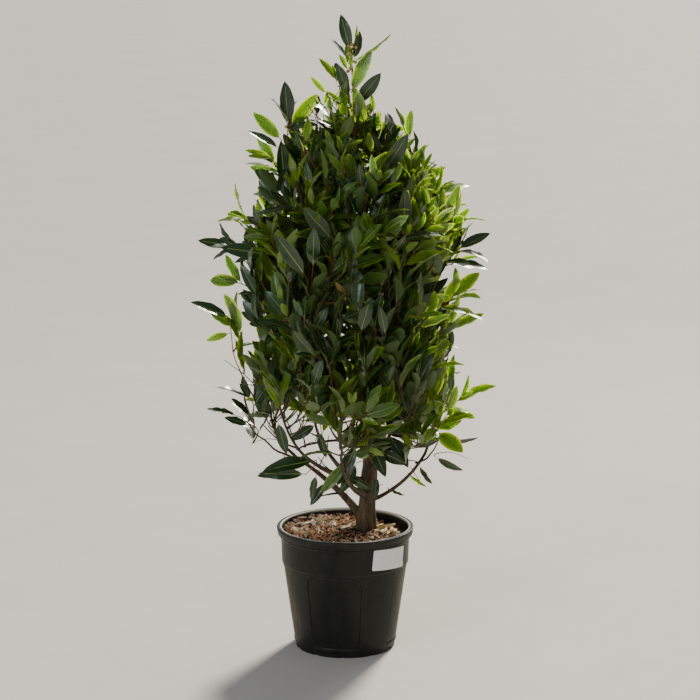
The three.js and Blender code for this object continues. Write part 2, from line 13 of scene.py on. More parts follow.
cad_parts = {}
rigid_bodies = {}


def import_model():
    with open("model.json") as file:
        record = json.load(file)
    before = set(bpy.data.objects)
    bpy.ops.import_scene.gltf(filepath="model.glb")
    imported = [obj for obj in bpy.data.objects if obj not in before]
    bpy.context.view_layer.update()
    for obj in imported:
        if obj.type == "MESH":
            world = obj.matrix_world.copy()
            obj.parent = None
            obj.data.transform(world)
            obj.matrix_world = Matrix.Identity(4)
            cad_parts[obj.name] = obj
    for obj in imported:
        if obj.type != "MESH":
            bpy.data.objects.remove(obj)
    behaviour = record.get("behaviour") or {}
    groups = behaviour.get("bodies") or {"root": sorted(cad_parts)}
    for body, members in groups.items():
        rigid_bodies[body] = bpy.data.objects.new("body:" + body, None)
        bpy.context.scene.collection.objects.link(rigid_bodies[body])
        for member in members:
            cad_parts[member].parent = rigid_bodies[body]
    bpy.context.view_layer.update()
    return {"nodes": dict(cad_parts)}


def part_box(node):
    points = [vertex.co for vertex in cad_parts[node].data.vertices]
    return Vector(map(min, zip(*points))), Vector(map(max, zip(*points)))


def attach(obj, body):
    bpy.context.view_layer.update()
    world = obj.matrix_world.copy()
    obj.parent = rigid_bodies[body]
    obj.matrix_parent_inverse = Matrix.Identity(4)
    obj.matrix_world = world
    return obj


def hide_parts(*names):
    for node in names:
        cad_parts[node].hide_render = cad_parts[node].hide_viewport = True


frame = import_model()

bl_info = {
    "name": "Potted Bay Pyramid",
    "version": (1, 0, 0),
    "blender": (4, 5, 0),
    "location": "View3D > Sidebar > Bay",
    "description": "Builds a potted bay laurel with its pot, mulch, bark, twigs and leaves",
    "category": "Object",
}

BODY = "root"
FOLIAGE_NODES = [name for name in frame["nodes"] if name.startswith("foliage_")]
BOUGH_NODES = [name for name in frame["nodes"] if name.startswith("bough_")]

# Pot, in metres
POT_HIGH = Vector(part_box("pot")[1])
POT_TURNS = 200
EDGE_TURNS = 11
EDGE_SPAN = 0.007
RING_GAP = 0.001
UNDERSIDE_RADII = (0.02, 0.06, 0.09)
FOOT_HEIGHT = 0.013
FOOT_ROUNDING = 0.0012
FOOT_LEDGE = 0.0004
FOOT_LEDGE_DROP = 0.0003
FOOT_RING_WIDTH = 0.002
WALL_FOOT_RADIUS = 0.1125
STEP_HEIGHT = 0.191
STEP_RADIUS = 0.1375
STEP_DEPTH = 0.0014
STEP_BELOW = 0.0008
STEP_ABOVE = 0.0012
BAND_TOP_RADIUS = 0.141
BEAD_DROP = 0.0045
BEAD_RADIUS = 0.0013
BEAD_SINK = 0.0002
RIM_BAND = 0.017
RIM_UNDERCUT = 0.0035
RIM_CORNER = 0.0015
RIM_STEPS = ((0.0018, 0.0045), (0.0013, 0.0052), (0.0007, 0.0100))
LIP_OUTSIDE = 0.0028
LIP_INSIDE = 0.0018
LIP_DIP = 0.0006
LIP_DIP_AT = 0.55
POT_WALL = 0.003
POT_FLOOR = 0.005
PANEL_COUNT = 4
PANEL_DEPTH = 0.0012
GROOVE_DEPTH = 0.0015
PANEL_BOTTOM = 0.022
PANEL_TOP = 0.186
PANEL_HALF_ANGLE = math.radians(26.5)
PANEL_CORNER = 0.026
PANEL_EDGE = 0.0042
FIRST_PANEL = math.radians(259)
NOTCH_COUNT = 11
NOTCH_HALF_ANGLE = math.radians(2.2)
NOTCH_DEPTH = 0.003
NOTCH_HEIGHT = 0.005
NOTCH_FLARE = 1.3
NOTCH_SOFTNESS = 0.001

# Marks of the pot: the pale band just inside the lip, partly wear and partly a painted highlight,
# and a stain of splashed soil low on the left
LIP_WEAR_AND_HIGHLIGHT_BAND = (0.0050, 0.0015)
LIP_WEAR_AND_HIGHLIGHT_FROM = 0.0022
LIP_WEAR_AND_HIGHLIGHT_TO = 0.0042
LIP_WEAR_AND_HIGHLIGHT = 0.9
STAIN_MIDDLE = (-0.100, -0.052, 0.085)
STAIN_HALF = (0.022, 0.030, 0.055)

# Label
LABEL_MIDDLE = 0.2215
LABEL_TURN = math.radians(314.5)
LABEL_TILT = math.radians(-4.6)
LABEL_CORNER = 0.0025
LABEL_THICKNESS = 0.0004
LABEL_STANDOFF = 0.0003
LABEL_LIFT = 0.0012
LABEL_LOOSE_FROM = (0.55, 0.2)
LABEL_ROWS = 25
LABEL_COLUMNS = 41
PAPER_DUST = (0.38, 0.34, 0.28)

# Soil
SOIL_TILT = 0.0122
SOIL_TILT_BACK = -0.0042
SOIL_TURNS = 150
SOIL_RINGS = 56
SOIL_FOOT_RADIUS = 0.105
SOIL_INNER_RADIUS = 0.002
SOIL_FLOOR_GAP = 0.0006
SOIL_WALL_HEIGHTS = (0.10, STEP_HEIGHT)
SOIL_CLEARANCE = 0.0012
SOIL_SINK = 0.001
SOIL_ROUGHNESS = 0.0026
SOIL_LUMPS = ((130, 3.0), (420, 8.0))
COMPOST_LIGHTENING = 2.6
TRUNK_ROOM = 0.026
CHIP_WIDTH = (0.14, 0.34)
CHIP_HEIGHT = (0.09, 0.2)
CHIP_ENDS = (0.7, 1.1)
CHIP_SIDES = (0.45, 1.15)
CHIP_FACES = np.array([
    (0, 2, 3, 1), (4, 5, 7, 6), (0, 1, 5, 4), (2, 6, 7, 3), (0, 4, 6, 2), (1, 3, 7, 5),
])
CHIP_LENGTH_SPREAD = (-0.1, 0.45)
LONGEST_CHIP = 2.2
SHORTEST_CHIP = 0.003
CHIP_PITCH = 0.42
CHIP_ROLL = 0.7
CHIP_LIFT = (-0.001, 0.0050)
CHIP_SHADE = 0.45
HEAP_CLEARANCE = 0.006
CHIP_OVERHANG = 0.004
# A patch in front of the trunk where more of the chips are dark
DARK_PATCH_PLACE = (0.024, -0.010)
DARK_PATCH_SIZE = 0.042
DARK_PATCH_GAIN = 2.2
# Pale chips gather here: partly bare wood, partly painted patches of sunlight
PALE_AND_SUNLIT_PLACES = ((-0.035, 0.050), (0.085, 0.055), (-0.085, -0.020))
PALE_AND_SUNLIT_SIZE = 0.020
PALE_LENGTH = 1.7
PALE_AND_SUNLIT_GATHERING = 0.60
CHIP_SHARES = {"rusty": 0.60, "dark": 0.38, "pale": 0.08}
FIBRE_INSET = 0.026
FIBRE_START = 0.001
FIBRE_LENGTH = (0.010, 0.030)
FIBRE_ARCH = (0.003, 0.016)
FIBRE_END = (-0.001, 0.016)
FIBRE_RADII = np.linspace(0.0006, 0.0003, 6)
FULL_TURN = 6.28

# Dry leaves on the mulch, right of the trunk
LITTER_COUNT = 13
LITTER_PLACE = (0.092, 0.046)
LITTER_SPREAD = (0.008, 0.018)
LITTER_LENGTH = (0.030, 0.050)
LITTER_LIFT = 0.009
LITTER_RISE = 0.25
LITTER_TUMBLE = 0.4
LITTER_CURL = (0.2, 0.9)
LITTER_WIDENING = 1.2

# Trunk and limbs, by the same rule as the solids
TRUNK_FOOT = 0.238
TRUNK_TIP = 1.095
TRUNK_FOOT_X = 0.044
TRUNK_FOOT_Y = 0.038
TRUNK_LEAN = 0.011
TRUNK_LEAN_TOP = 0.420
LEADER_BEND_START = 0.700
LEADER_BEND_END = 1.250
LEADER_SHIFT_X = -0.041
LEADER_SHIFT_Y = -0.026
FLARE_HEIGHT = 0.060
FLARE_LOBES = 3
FLARE_LOBE_DEPTH = 0.16
TRUNK_RINGS = 190
TRUNK_SIDES = 40
TRUNK_CROWDING = 1.25
COLLAR_RISE = 1.1
COLLAR_TURN = 0.75
COLLAR_LENGTH = 1.6
COLLAR_SWELL = 0.32
BOUGH_TIP_RADIUS = 0.0034
BOUGH_BEND_OUT = 0.62
BOUGH_BEND_UP = 0.3
BOUGH_RINGS = 34
BOUGH_SIDES = 14
BOUGH_SWELL = 0.35
BOUGH_SWELL_SHARE = 0.12
BOUGH_BARK_RADIUS = 0.006
BOUGH_RELIEF = 0.45
BARK_RIDGES = 190
TRUNK_RIDGE_RISE = 26.0
BOUGH_RIDGE_RISE = 90.0
BARK_LUMPS = 45
BARK_LUMP_START = 7
BARK_LUMP_RISE = 18
BARK_LUMP_DEPTH = 1.3

# Crown: height, reach to the left and reach to the right, in metres
CROWN_OUTLINE = np.array([
    (0.330, 0.100, 0.120),
    (0.400, 0.185, 0.240),
    (0.470, 0.215, 0.275),
    (0.550, 0.285, 0.325),
    (0.640, 0.265, 0.297),
    (0.710, 0.265, 0.270),
    (0.790, 0.316, 0.302),
    (0.930, 0.302, 0.303),
    (1.040, 0.222, 0.236),
    (1.200, 0.150, 0.115),
    (1.290, 0.062, 0.092),
    (1.335, 0.032, 0.088),
    (1.380, 0.016, 0.014),
])
# The same for the mass of ordinary leaves, which single sprays stand out of
MASS_OUTLINE = np.array([
    (0.330, 0.100, 0.120),
    (0.400, 0.185, 0.230),
    (0.480, 0.200, 0.236),
    (0.540, 0.232, 0.280),
    (0.620, 0.212, 0.250),
    (0.690, 0.230, 0.236),
    (0.780, 0.246, 0.258),
    (0.840, 0.232, 0.222),
    (0.900, 0.236, 0.262),
    (0.960, 0.224, 0.278),
    (1.020, 0.196, 0.240),
    (1.075, 0.150, 0.200),
    (1.140, 0.126, 0.146),
    (1.175, 0.112, 0.128),
    (1.215, 0.080, 0.062),
    (1.290, 0.050, 0.060),
    (1.380, 0.016, 0.014),
])
CROWN_LOBE = 0.05
CROWN_LOBES = 3
CROWN_LOBE_TURN = 0.090
TIERS = (
    dict(
        name="low", sectors=7, turn=12, root_from=0.322, root_to=0.400, tip_from_axis=0.108,
        rise=0.082, thickness=0.0085, surface_from=0.400, surface_to=0.690,
    ),
    dict(
        name="middle", sectors=6, turn=8, root_from=0.500, root_to=0.600, tip_from_axis=0.100,
        rise=0.092, thickness=0.0075, surface_from=0.675, surface_to=0.930,
    ),
    dict(
        name="high", sectors=5, turn=5, root_from=0.740, root_to=0.860, tip_from_axis=0.076,
        rise=0.088, thickness=0.0062, surface_from=0.910, surface_to=1.150,
    ),
)
SECTORS = [(tier, sector) for tier in TIERS for sector in range(tier["sectors"])]
LEFT_STEM = dict(
    root=0.264, tip_from_axis=0.106, rise=0.150, thickness=0.0105, bend_out=0.3, bend_up=0.5
)
RIGHT_BRANCH = dict(root=0.312, tip_from_axis=0.165, rise=0.088, thickness=0.0044)
SPECIAL_LIMBS = {("low", 3): LEFT_STEM, ("low", 0): RIGHT_BRANCH}
STEM_RADIUS = 0.0034
STEM_TIP_RADIUS = 0.0024
STEM_REACH = 0.62
STEM_RISE = 0.55
STEM_ONWARD = 0.45
TWIG_BEND_OUT = 0.7
TWIG_BEND_UP = 0.3
SHOOT_INSET = 0.062
SHOOTS_FROM = 0.1
SHOOTS_TO = 0.9
SPREAD_ACROSS = 0.7549
SPREAD_UP = 0.5698
GOLDEN_ANGLE = math.radians(137.5)
GOLDEN_SHARE = 0.618
LEADER_TOP = np.array((0.014, 0.006, 1.284))
LEADER_SHOOT_OUT = 0.076
LEADER_SHOOT_UP = 0.060
LEADER_NARROWING = 0.6
LEADER_SHOOT_SPREAD = (0.7, 1.0)
LEADER_SHOOTS = 8
LEADER_SHOOTS_FROM = 0.02
LEADER_SHOOTS_SPAN = 0.26
LEADER_LEAVES_FROM = 0.45
LEADER_RADII = (0.0050, 0.0016)
LEADER_ROOM = 0.004
SEED = 41

# How the finer growth is carried on
INNER_REACH = (0.52, 0.9)
OUTER_REACH = (0.78, 1.08)
SPRAY_ROOM = 1.07
SPRAY_SPACING = 0.022
SPRAY_STRAIGHT = 0.45
SPRAY_TIP_LEAVES = 3
SPRAY_DEPTH = 0.4
TRUNK_SAMPLES = 120
BOUGH_SAMPLES = 30
LEADER_RINGS = 14
LONG_TWIG_RINGS = 12
TWIG_RINGS = 9
SHORT_TWIG_RINGS = 6
TWIG_SWING = 0.012
SHOOT_RADIUS = 0.0021
SHOOT_TIP_RADIUS = 0.0009
SHORTEST_STALK = 0.003
LONGEST_STALK = 0.080
STALK_RISE = 0.08
STALK_WIDENING = 1.4
STEM_LEAVES_FROM = 0.6
SHOOT_LEAVES_FROM = 0.34
YOUNG_FROM = 0.6
YOUNG_WIDENING = 1.02
LEAF_SPACING = 0.0118
SIDE_TWIG_LENGTH = (0.050, 0.105)
SIDE_TWIG_LEAN = math.radians(38)
SIDE_TWIG_RADIUS = 0.0013
SIDE_TWIG_SHARES = (0.35, 0.85)
SIDE_TWIG_SPREAD = 0.6
SIDE_TWIG_OUT = 0.8
SIDE_TWIG_UP = 0.5
SIDE_TWIG_LEAVES_FROM = 0.3
SIDE_TWIG_LEAF_SIZE = 0.92
SIDE_TWIG_TIP_LEAVES = 3
LIMB_BEHIND = 8
LIMB_CLEARANCE = 0.03
LIMB_CLIMB = 3.0
TIP_LEAVES = 4
TIP_LEAF_GAP = 0.0025
TIP_LEAF_SIZE = 0.8
LAST_LEAF_SIZE = 0.9
LEAVES_TO = 0.93
LOOK_BACK = 0.012
LOOK_AHEAD = 0.006
LEAN_SPREAD = (0.8, 1.2)
LEAF_SIZE_SPREAD = (0.56, 1.04)
LEAF_CURL = (0.05, 0.7)
CHOSEN_CURL = 0.18
ROLL_SPREAD = 0.2
UPWARD_FACE = 0.5
SAMPLE_SHARES = np.linspace(0.2, 1.0, 10)[:, None]
SAMPLE_BEND = 0.35
SAMPLE_WIDTH = 0.36
LEAN_AT_FOOT = math.radians(56)
LEAN_AT_TIP = math.radians(26)
LIGHT_PULL = 0.25
LOWEST_POINTING = -0.15
LOWEST_IN_SPRAYS = -0.25
FACE_TURN = 0.9
FRESH_SHARE = 0.07
FRESH_SIZE = 0.6
LEAF_TRIES = ((1.0, 1.0), (0.7, 1.0), (1.25, 0.96), (0.5, 0.94), (1.0, 0.84), (0.6, 0.74), (0.3, 0.8))
CELL = 0.0056
SPILL = 0.004
WIDEST = 0.322
BASE_HEIGHT = 0.352
BASE_RISE = 0.62
BASE_SOFTNESS = 0.03
HOLLOW_X = -0.105
HOLLOW_WIDTH = 0.075
HOLLOW_RISE = 0.095
CEILING = 1.238
CEILING_SLOPE = 0.42
OVERHANG = 0.09

# A place is sunnier to the right, at the crown's edge, behind and above this height. Light leaves,
# partly painted sunlight shining through, are dealt more often in the sun, within limits. Each tint's
# share in the shade and in the sun; the rest is young.
SUNNY_RIGHT = 0.35
SUNNY_EDGE = 1.1
SUNNY_BACK = 0.7
SUNNY_HIGH = 1.1
SUNNY_FROM = 0.85
LIGHT_AT_LEAST = 0.10
LIGHT_AT_MOST = 0.70
LIGHT_USUAL = 0.24
LIGHT_GAIN = 0.95
# Blue sheen leaves are partly a painted reflection of the sky
TINT_SHARES = {"deep": (0.34, 0.0), "blue": (0.28, 0.0), "middle": (0.38, 0.2), "light": (0.0, 0.5)}

# Pockets without leaves, from smooth noise of this size, where it is under the limit
POCKET_SIZE = 0.085
POCKET_LIMIT = -0.19
UP = np.array((0.0, 0.0, 1.0))
SPRAY_FACING = np.array((0.0, -0.7, 0.0))

# Round buds, near the leader's tip and on a few shoots
LEADER_TIP = np.array((0.015, 0.004, 1.314))
BUDS = (
    (0.008, -0.001, 1.317),
    (0.023, 0.002, 1.314),
    (0.015, -0.004, 1.320),
    (0.006, 0.000, 1.299),
    (0.016, 0.011, 1.300),
    (0.022, -0.001, 1.283),
    (0.010, -0.005, 1.270),
    (0.006, 0.004, 1.263),
    (0.003, 0.000, 1.199),
    (-0.125, -0.002, 1.146),
    (-0.119, 0.000, 1.138),
)
BUD_RADIUS = (0.0030, 0.0038)
BUD_HEIGHTS = np.linspace(-0.92, 0.98, 7)
BUD_STRETCH = 1.15
BUD_SKIN = 0.0001
BUD_SIDES = 10

# Leaves that are set one by one, at the crown's tip and under its edge: the place of the root, how
# far the blade leans to the right of upright and towards the front, how far its face is turned
# from the front, all in degrees, its length and its tint
CHOSEN_LEAVES = (
    ((0.012, 0.003, 1.304), -15, 4, 0, 0.074, "blue"),
    ((0.016, 0.006, 1.308), 13, -6, 62, 0.046, "light"),
    ((0.018, 0.008, 1.284), 13, -8, 15, 0.058, "blue"),
    ((0.017, 0.006, 1.282), 57, 0, 78, 0.096, "young"),
    ((0.013, 0.000, 1.218), 24, 8, -10, 0.096, "middle"),
    ((0.008, 0.004, 1.286), -38, 0, 60, 0.056, "blue"),
    ((0.008, 0.000, 1.262), -28, 10, 30, 0.036, "young"),
    ((0.014, 0.000, 1.262), -4, 12, -30, 0.034, "young"),
    ((0.010, -0.002, 1.204), -19, 8, 12, 0.076, "blue"),
    ((0.018, 0.000, 1.190), 41, 8, 25, 0.084, "blue"),
    ((-0.012, 0.000, 1.240), -38, 4, 40, 0.060, "light"),
    ((-0.016, 0.004, 1.232), -12, 6, 62, 0.040, "young"),
    ((-0.036, 0.000, 1.213), -43, 4, 5, 0.046, "young"),
    ((-0.012, -0.006, 1.190), 14, 10, -15, 0.052, "middle"),
    ((0.016, 0.014, 1.232), 34, -40, 20, 0.070, "deep"),
    ((0.010, 0.014, 1.222), -30, -42, 10, 0.072, "deep"),
    ((0.012, 0.014, 1.268), -8, -44, 0, 0.060, "middle"),
    ((-0.062, -0.040, 0.426), -98, 6, 55, 0.112, "deep"),
    ((-0.084, -0.044, 0.396), -88, 4, 20, 0.096, "deep"),
    ((-0.128, -0.040, 0.398), -94, 8, 25, 0.056, "deep"),
    ((-0.062, -0.034, 0.396), -168, 6, 30, 0.056, "deep"),
    ((-0.036, -0.030, 0.378), -142, 10, 25, 0.060, "deep"),
    ((0.002, -0.060, 0.428), -140, 20, 0, 0.080, "middle"),
    ((0.026, -0.050, 0.424), -150, 24, -10, 0.070, "deep"),
    ((-0.002, -0.054, 0.400), 118, 24, 20, 0.060, "deep"),
    ((0.070, 0.002, 0.384), -174, 14, 0, 0.052, "deep"),
    ((-0.146, -0.030, 0.512), 166, 8, 15, 0.068, "deep"),
    ((-0.060, -0.060, 0.512), -120, 12, 20, 0.060, "deep"),
    ((-0.058, -0.060, 0.500), 164, 16, 10, 0.056, "deep"),
    ((0.142, 0.020, 0.440), 74, 8, 40, 0.060, "deep"),
    ((0.212, 0.012, 0.458), 88, 4, 60, 0.072, "deep"),
    ((0.196, 0.018, 0.420), 118, 6, 30, 0.062, "deep"),
    ((0.160, 0.026, 0.402), 148, 6, 35, 0.048, "deep"),
    ((0.136, 0.030, 0.380), 128, 6, 40, 0.046, "middle"),
    ((0.092, 0.034, 0.346), 116, 6, 40, 0.036, "deep"),
    ((0.026, -0.040, 0.462), -152, 20, 15, 0.092, "deep"),
    ((0.052, -0.050, 0.480), 156, 22, -10, 0.086, "deep"),
    ((0.094, -0.040, 0.486), 148, 20, -15, 0.078, "deep"),
    ((0.066, -0.046, 0.452), 112, 20, 0, 0.070, "deep"),
    ((-0.121, -0.002, 1.148), -3, 6, 15, 0.088, "blue"),
    ((-0.118, -0.002, 1.148), 42, 8, 20, 0.084, "light"),
    ((-0.134, -0.010, 1.118), -44, 6, 20, 0.078, "middle"),
    ((-0.138, -0.012, 1.100), -58, 6, 45, 0.070, "blue"),
    ((-0.150, -0.010, 1.080), -82, 6, 50, 0.050, "light"),
    ((-0.128, -0.020, 1.020), -4, 14, 5, 0.096, "blue"),
    ((0.004, -0.185, 0.798), -24, 24, 25, 0.050, "old"),
    ((0.079, -0.100, 1.060), 33, 10, 12, 0.092, "blue"),
    ((-0.082, -0.190, 0.858), -34, 16, 10, 0.104, "blue"),
    ((-0.066, -0.190, 0.873), 1, 14, -10, 0.082, "blue"),
    ((-0.025, -0.175, 0.930), -40, 14, 20, 0.086, "deep"),
    ((-0.025, -0.160, 1.008), 63, 16, -25, 0.070, "middle"),
    ((0.032, -0.200, 0.738), 15, 14, -8, 0.076, "blue"),
    ((0.085, -0.195, 0.730), -10, 14, 15, 0.062, "blue"),
    ((0.081, -0.170, 0.920), 32, 10, 0, 0.074, "young"),
    ((0.122, -0.140, 0.940), 3, 12, 18, 0.088, "blue"),
    ((-0.249, 0.000, 0.732), -64, 4, 52, 0.084, "blue"),
    ((-0.246, 0.000, 0.700), -106, 8, 20, 0.050, "light"),
    ((-0.232, -0.010, 0.517), -73, 6, 58, 0.064, "blue"),
    ((-0.206, -0.010, 0.496), -68, 8, 50, 0.052, "blue"),
    ((-0.240, -0.020, 0.892), -78, 8, 25, 0.068, "deep"),
    ((-0.165, -0.100, 0.888), -79, 12, 20, 0.090, "deep"),
)

# Sprays that stand out at the crown's edge: the place where the leaves start, how far the spray
# leans outwards from upright in degrees, how many leaves it has and their tint
LEADING_SPRAYS = (
    (-0.121, 0.00, 1.150, -6, 3, "blue"),
    (-0.078, 0.00, 1.140, 14, 6, "light"),
    (-0.141, -0.05, 1.010, 14, 5, "blue"),
    (-0.150, 0.03, 1.060, 50, 3, "middle"),
    (-0.214, 0.00, 0.950, 48, 5, "light"),
    (-0.226, -0.03, 0.893, 78, 3, "blue"),
    (-0.178, -0.08, 0.878, 76, 3, "deep"),
    (-0.226, 0.01, 0.806, 70, 4, "middle"),
    (-0.233, 0.02, 0.706, 50, 5, "middle"),
    (-0.225, 0.00, 0.640, 40, 6, "light"),
    (-0.205, -0.03, 0.560, 42, 5, "deep"),
    (-0.196, 0.00, 0.490, 66, 5, "blue"),
    (0.138, 0.00, 1.118, 8, 3, "light"),
    (0.080, -0.12, 1.010, 36, 4, "blue"),
    (0.190, 0.02, 1.000, 28, 8, "young"),
    (0.236, 0.00, 0.942, 56, 8, "young"),
    (0.238, -0.04, 0.888, 62, 5, "blue"),
    (0.228, 0.02, 0.846, 80, 3, "young"),
    (0.232, 0.00, 0.780, 32, 7, "light"),
    (0.224, 0.02, 0.706, 34, 7, "light"),
    (0.184, -0.10, 0.655, 40, 5, "light"),
    (0.252, 0.00, 0.556, 44, 9, "young"),
    (0.218, -0.06, 0.530, 40, 6, "light"),
    (0.060, -0.09, 0.450, 30, 4, "deep"),
    (0.030, -0.225, 0.790, 58, 4, "blue"),
    (-0.060, -0.205, 0.690, 56, 4, "deep"),
    (0.040, -0.225, 0.570, 62, 4, "middle"),
    (-0.030, -0.190, 0.900, 50, 4, "deep"),
    (0.050, -0.150, 0.990, 40, 4, "blue"),
    (0.020, 0.215, 0.700, 60, 5, "light"),
    (-0.060, 0.225, 0.790, 54, 5, "young"),
    (0.050, 0.225, 0.580, 62, 5, "middle"),
    (0.070, 0.190, 0.890, 48, 5, "young"),
    (-0.030, 0.150, 0.990, 38, 5, "light"),
    (-0.080, 0.205, 0.560, 58, 4, "deep"),
)

# Twigs that show bare at the crown's edge and below it, each a start, a middle that it bends
# towards, an end, its radius and its age
CHOSEN_TWIGS = (
    ((0.060, 0.030, 0.440), (-0.036, 0.000, 0.476), (-0.104, -0.006, 0.442), 0.0040, "woody"),
    ((-0.096, 0.020, 0.410), (-0.172, 0.000, 0.440), (-0.212, -0.012, 0.504), 0.0030, "woody"),
    ((-0.110, 0.016, 0.424), (-0.142, -0.004, 0.456), (-0.180, -0.010, 0.500), 0.0026, "woody"),
    ((-0.098, 0.000, 0.442), (-0.134, -0.010, 0.450), (-0.168, -0.016, 0.498), 0.0026, "woody"),
    ((-0.104, -0.002, 0.440), (-0.112, -0.014, 0.464), (-0.130, -0.020, 0.520), 0.0026, "woody"),
    ((-0.086, -0.002, 0.446), (-0.092, -0.010, 0.480), (-0.104, -0.016, 0.524), 0.0020, "woody"),
    ((-0.090, 0.000, 0.445), (-0.080, -0.010, 0.462), (-0.064, -0.016, 0.460), 0.0015, "woody"),
    ((-0.150, -0.006, 0.464), (-0.178, -0.016, 0.472), (-0.206, -0.020, 0.456), 0.0010, "woody"),
    ((-0.040, -0.002, 0.436), (-0.038, -0.004, 0.454), (-0.036, -0.006, 0.474), 0.0018, "woody"),
    ((-0.058, -0.002, 0.402), (-0.048, -0.004, 0.420), (-0.042, -0.006, 0.440), 0.0016, "woody"),
    ((-0.028, 0.006, 0.386), (-0.046, 0.002, 0.404), (-0.060, 0.000, 0.424), 0.0018, "woody"),
    ((-0.012, 0.030, 0.335), (-0.034, 0.024, 0.333), (-0.054, 0.020, 0.330), 0.0030, "woody"),
    ((0.154, 0.032, 0.402), (0.192, 0.024, 0.410), (0.208, 0.020, 0.470), 0.0026, "woody"),
    ((0.100, 0.030, 0.420), (0.130, 0.024, 0.412), (0.164, 0.030, 0.404), 0.0022, "woody"),
    ((0.196, 0.022, 0.424), (0.232, 0.010, 0.440), (0.270, 0.000, 0.418), 0.0011, "woody"),
    ((0.144, 0.026, 0.394), (0.158, 0.014, 0.374), (0.170, 0.006, 0.358), 0.0010, "woody"),
    ((0.046, 0.030, 0.480), (0.120, 0.000, 0.486), (0.176, -0.020, 0.520), 0.0024, "woody"),
    ((0.085, 0.000, 1.150), (0.110, 0.000, 1.096), (0.196, 0.000, 1.064), 0.0026, "woody"),
    ((0.104, 0.000, 1.112), (0.112, 0.000, 1.120), (0.118, 0.000, 1.134), 0.0014, "woody"),
    ((-0.190, 0.000, 0.545), (-0.222, 0.000, 0.590), (-0.243, 0.000, 0.657), 0.0022, "young"),
    ((-0.170, 0.000, 0.560), (-0.216, 0.000, 0.610), (-0.262, 0.000, 0.640), 0.0014, "woody"),
    ((-0.166, 0.040, 0.510), (-0.172, 0.040, 0.540), (-0.184, 0.050, 0.590), 0.0016, "woody"),
    ((-0.001, 0.010, 1.196), (-0.016, 0.000, 1.210), (-0.010, 0.000, 1.240), 0.0018, "young"),
    ((0.010, 0.006, 1.186), (-0.014, 0.000, 1.198), (-0.038, 0.000, 1.212), 0.0018, "young"),
    ((0.034, 0.012, 0.252), (0.020, -0.004, 0.290), (0.001, 0.004, 0.352), 0.0016, "green"),
    ((0.062, 0.016, 0.300), (0.030, -0.002, 0.372), (0.050, 0.004, 0.446), 0.0016, "green"),
    ((0.008, 0.000, 0.362), (0.044, -0.004, 0.342), (0.066, 0.004, 0.362), 0.0014, "green"),
    ((0.034, 0.016, 0.330), (0.060, -0.006, 0.352), (0.082, 0.004, 0.362), 0.0016, "green"),
)
TWIG_TAPER = 0.45

# Leaf blades
LEAF_ROWS = 10
LEAF_ACROSS = (-1.0, -0.52, 0.0, 0.52, 1.0)
LEAF_UNDER = (0.52, 0.0, -0.52)
LEAF_SIDES = len(LEAF_ACROSS) + len(LEAF_UNDER)
LEAF_POINTS = (LEAF_ROWS - 1) * LEAF_SIDES + 2
LEAF_THICKNESS = 0.0005
BLADE_FULLNESS = (0.72, 0.86)
BLADE_WIDTHS = (0.86, 1.14)
BLADE_TWIST = 0.22
BLADE_BENDING = 1.4
BLADE_FOLD = (0.06, 0.5)
FOLD_EASING = 0.35
WAVE_SIZE = (0.006, 0.034)
WAVE_TURNS = (2.0, 3.6)
LEAF_BACK = (0.11, 0.18, 0.035)
BACK_PALENESS = 0.35
# The pale leaf margin is partly the leaf's own edge and partly painted rim light
MARGIN_AND_RIM_LIGHT_PALENESS = 0.45
DRY_PALENESS = 0.15
LEAF_GLOW = {"deep": 0.0, "blue": 0.0, "middle": 0.42, "light": 0.7, "young": 0.8, "old": 0.4}
LEAF_GLOW_REACH = 0.004
LEAF_GLOW_COLOUR = (0.7, 1.0, 0.12)
RIB_ROWS = 7
RIB_SIDES = 3
RIB_RADII = (0.0012, 0.0004)
PETIOLE_LENGTH = 0.008
STALK_RINGS = 3
STALK_SIDES = 4
STALK_OVERLAP = 0.0006
STALK_UNDER_BLADE = 0.0012
STALK_RADII = (0.0012, 0.0008)

# Stage: the camera stands where the photo was taken from
FLOOR_HALF = 60.0
CAMERA_PLACE = (0.0106, -5.3, 1.74)
CAMERA_TILT = math.radians(78.5)
CAMERA_LENS = 128.57
CAMERA_SENSOR = 36.0
CAMERA_REACH = 200.0
LAMP_TARGET = Vector((0.0, 0.0, 0.75))
SUN_SPREAD = math.radians(11)
SKY_COLOUR = (0.93, 0.96, 1.0)


# Small tools


def smooth_step(start, end, value):
    share = np.clip((value - start) / (end - start), 0, 1)
    return share * share * (3 - 2 * share)


def mix(first, second, share):
    return first + (second - first) * share


def around(turn):
    return np.array((math.cos(turn), math.sin(turn), 0.0))


def level_ring(radius, turns, height):
    """A ring of points at one height. The radius is one number, or one for each point."""
    x, y = radius * np.cos(turns), radius * np.sin(turns)
    return np.stack((x, y, np.full(len(turns), height)), axis=-1)


def full_circle(count):
    return np.linspace(0, 2 * math.pi, count, endpoint=False)


def near(x, y, place, width):
    """1 at a place and less and less away from it."""
    return math.exp(-((x - place[0]) ** 2 + (y - place[1]) ** 2) / width**2)


def unit(vector):
    return vector / np.linalg.norm(vector, axis=-1, keepdims=True)


def sideways(along):
    return UP if abs(along[2]) < 0.9 else np.array((0.0, 1.0, 0.0))


def ripple(x, y, z):
    """Smooth noise from about -1 to 1."""
    return noise.noise(Vector((x, y, z)))


class Curve:
    """A bend from a start to an end that leans towards a middle point."""

    def __init__(self, start, middle, end):
        self.start = start
        self.middle = middle
        self.end = end

    def point(self, share):
        first = mix(self.start, self.middle, share)
        return mix(first, mix(self.middle, self.end, share), share)

    def along(self, share):
        return unit(mix(self.middle - self.start, self.end - self.middle, share))

    def points(self, count):
        return np.array([self.point(share) for share in np.linspace(0, 1, count)])

    def length(self):
        return float(np.linalg.norm(np.diff(self.points(9), axis=0), axis=1).sum())


